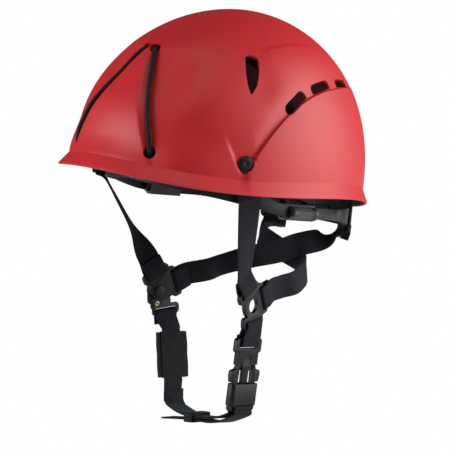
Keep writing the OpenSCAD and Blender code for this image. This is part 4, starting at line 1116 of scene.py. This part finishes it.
# %% Bands that the pads follow
BAND_A, BAND_FRONT, BAND_T, BAND_H = 84.0, 102.0, 1.8, 18.0
NAPE_REAR, NAPE_MID, TONGUE_X, NAPE_TURN, ADJ_Z = 118.0, 50.0, BAND_A - 4.9, 8, -20.5


def band_low(t):
    return -9 - 3 * min(t, 30) / 30 - 4.5 * max(0, t - 30) / 30


def band_pt(t, out, z=0.0):
    return Vector(((BAND_A + out) * deg_sin(t), 2 - (BAND_FRONT + 2 + out) * deg_cos(t), z))


def nape_pt(k, out):
    s = 90 * (1 - abs(k) / NAPE_TURN)
    side = 1 if k > 0 else -1
    return Vector((side * (TONGUE_X + out) * max(deg_cos(s), 0) ** 0.9,
                   NAPE_MID + (NAPE_REAR + out - NAPE_MID) * max(deg_sin(s), 0) ** 0.95, ADJ_Z - 1.5))


def slab(stations, deep):
    last = len(stations) - 1
    mesh = new_grid(last, 4)
    grown = bmesh.ops.extrude_face_region(mesh, geom=mesh.faces[:])
    inner = {v for v in grown["geom"] if isinstance(v, bmesh.types.BMVert)}
    for v in mesh.verts:
        i, c = column_of(v, last), v.co.y
        at, towards, high = stations[i]
        end = 0.4 + 0.6 * ease(0, 0.1, min(i, last - i) / last)
        thick = deep * end * (1 - 0.2 * c * c) if v in inner else 0
        v.co = tip(at + UP * (c * high / 2) + towards * thick)
    bmesh.ops.recalc_face_normals(mesh, faces=mesh.faces)
    return mesh

# %% Cloth that swells
SWELL_FRAMES, SWELL_CAP = 20, 0.0018


def settle(piece):
    even = piece.modifiers.new("even_mesh", "REMESH")
    even.mode, even.voxel_size = "VOXEL", 0.004
    fine = read_back(piece)
    piece.modifiers.remove(even)
    fine.to_mesh(piece.data)
    start = [v.co.copy() for v in fine.verts]
    fine.free()
    cloth = piece.modifiers.new("cloth", "CLOTH")
    sewn = cloth.settings
    sewn.use_pressure, sewn.uniform_pressure_force, sewn.mass = True, 4.0, 0.2
    sewn.effector_weights.gravity = 0.0
    cloth.point_cache.frame_start, cloth.point_cache.frame_end = 1, SWELL_FRAMES
    for f in range(1, SWELL_FRAMES + 1):
        scene.frame_set(f)
    swollen = read_back(piece)
    piece.modifiers.remove(cloth)
    most = 0.0
    for v, home in zip(swollen.verts, start):
        move = v.co - home
        if move.length > SWELL_CAP:
            v.co = home + move * (SWELL_CAP / move.length)
        most = max(most, (v.co - home).length)
    for face in swollen.faces:
        face.smooth = True
    swollen.to_mesh(piece.data)
    swollen.free()
    scene.frame_set(1)
    return most


def pad(node, stations, deep, body):
    slim = slab(stations, deep)
    piece = show(node.replace("_", "-"), slim, pad_knit, body, (node,), sharp=180)
    moved = settle(piece)
    rounder = piece.modifiers.new("soft_skin", "SUBSURF")
    rounder.levels = rounder.render_levels = 1
    print(piece.name, "moved at most", round(moved / MM, 2), "mm")


brow_line = []
for t in range(-47, 48, 2):
    inward = (band_pt(t, -1) - band_pt(t, 0)).normalized()
    brow_line.append((band_pt(t, -BAND_T / 2 - 0.5, band_low(abs(t)) + BAND_H / 2), inward, BAND_H - 5))
pad("brow_pad", brow_line, 4.0, "helmet")
nape = []
for k in range(-14, 15):
    here, inside = nape_pt(k / 5, -BAND_T / 2 - 0.5), nape_pt(k / 5, -6)
    inside.x = here.x * 0.97
    nape.append((here, (inside - here).normalized(), 12))
pad("nape_pad", nape, 3.2, "nape")

# %% [markdown]
# ## Lamp cords
# Two elastic cords lie in the shallow grooves beside the brow panel and dive through
# lined holes at both ends. A cord is a tube: a grid rolled round the line it follows.

# %% Tube maker
CORD_D, TUBE_STEPS, TUBE_SIDES = 3.6, 4, 16


def tube(points, thick):
    line = through(points, TUBE_STEPS)
    last = len(line) - 1
    mesh = new_grid(last, TUBE_SIDES)
    rings, side = [], heading(line, 0).orthogonal().normalized()
    for i, at in enumerate(line):
        d = heading(line, i)
        side = (side - d * side.dot(d)).normalized()
        rings.append((at, side, d.cross(side)))
    for v in mesh.verts:
        at, a, b = rings[column_of(v, last)]
        turn = v.co.y * math.pi
        v.co = at + a * (math.cos(turn) * thick / 2) + b * (math.sin(turn) * thick / 2)
    bmesh.ops.remove_doubles(mesh, verts=mesh.verts, dist=0.001)
    bmesh.ops.holes_fill(mesh, edges=[e for e in mesh.edges if e.is_boundary], sides=0)
    bmesh.ops.recalc_face_normals(mesh, faces=mesh.faces)
    return mesh

# %% Cords from hole to hole
CORD_OUT = CORD_D / 2 + 0.1


def on_pt(t, z, out):
    return tip(dome_pt(t, z) + dome_n(t, z) * out)


CORD_LINE = [(CORD_TOP_Z, out) for out in (-WALL - 5, -WALL - 2, -1.5)]
CORD_LINE += [(z, CORD_OUT) for z in (92, 76, 61, 46, 31, 22)]
CORD_LINE += [(CORD_FOOT_Z, out) for out in (0.8, -1.5, -WALL - 2, -WALL - 5)]
for side, word in ((1, "left"), (-1, "right")):
    route = [on_pt(side * cord_t(z), z, out) for z, out in CORD_LINE]
    cord = show("lamp-cord-" + word, tube(route, CORD_D), cord_braid, "helmet", ("lamp_cord_" + word,),
                sharp=60)
    print(cord.name, len(cord.data.polygons), "faces")

# %% [markdown]
# ## Cover on the right strap
# A soft cover wraps the right chin strap: a back panel next to the cheek and two flaps
# that lap over in front and close with hook and loop. Each is a thick cloth, so it is a
# grid that bows a little, with a wall and rounded edges.

# %% Cover panels
CLOTH_STEPS, CLOTH_ROWS, BOW = 5, 14, 0.25


def cover_pt(x, y, z):
    return COVER_MID + COVER_X * x + COVER_Y * y + COVER_IN * z


def cloth_panel(node, profile, body, length=COVER_L - 1):
    line = through([Vector((x, z, 0)) for x, z in profile], CLOTH_STEPS)
    mesh = new_grid(len(line) - 1, CLOTH_ROWS)
    for v in mesh.verts:
        q = line[column_of(v, len(line) - 1)]
        bow = BOW * math.sin(v.co.y * 7 + q.x * 0.3)
        v.co = cover_pt(q.x, v.co.y * length / 2, q.y + bow)
    bmesh.ops.recalc_face_normals(mesh, faces=mesh.faces)
    panel = show(node.replace("_", "-"), mesh, cover_nap, body, (node,), sharp=180)
    give_wall(panel, COVER_T - 0.1, 0.6, 3)
    print(panel.name, len(panel.data.polygons), "faces")


COVER_GAP = STRAP_T / 2 + COVER_T / 2 + 2 * CLEAR
side_x = COVER_W / 2 + COVER_T / 2 + CLEAR
front_z, rear_z = -(COVER_GAP + 0.1), -(COVER_GAP + COVER_T + 2 * CLEAR)
cloth_panel("cover_back", [(-COVER_W / 2, COVER_GAP), (0, COVER_GAP), (COVER_W / 2, COVER_GAP)],
            "breakaway", COVER_L)
cloth_panel("cover_flap_front", [(-side_x, COVER_GAP), (-side_x, 0.6), (-side_x + 0.4, front_z + 0.5),
                                 (-side_x + 1.6, front_z), (-6, front_z), (1.2, front_z)],
            "flap_front")
cloth_panel("cover_flap_rear", [(side_x, COVER_GAP), (side_x, 0.4), (side_x - 0.4, rear_z + 0.6),
                                (side_x - 1.6, rear_z), (6, rear_z), (-1.2, rear_z)],
            "flap_rear")

# %% Sizes and finish
print("CAD box", cad_box)
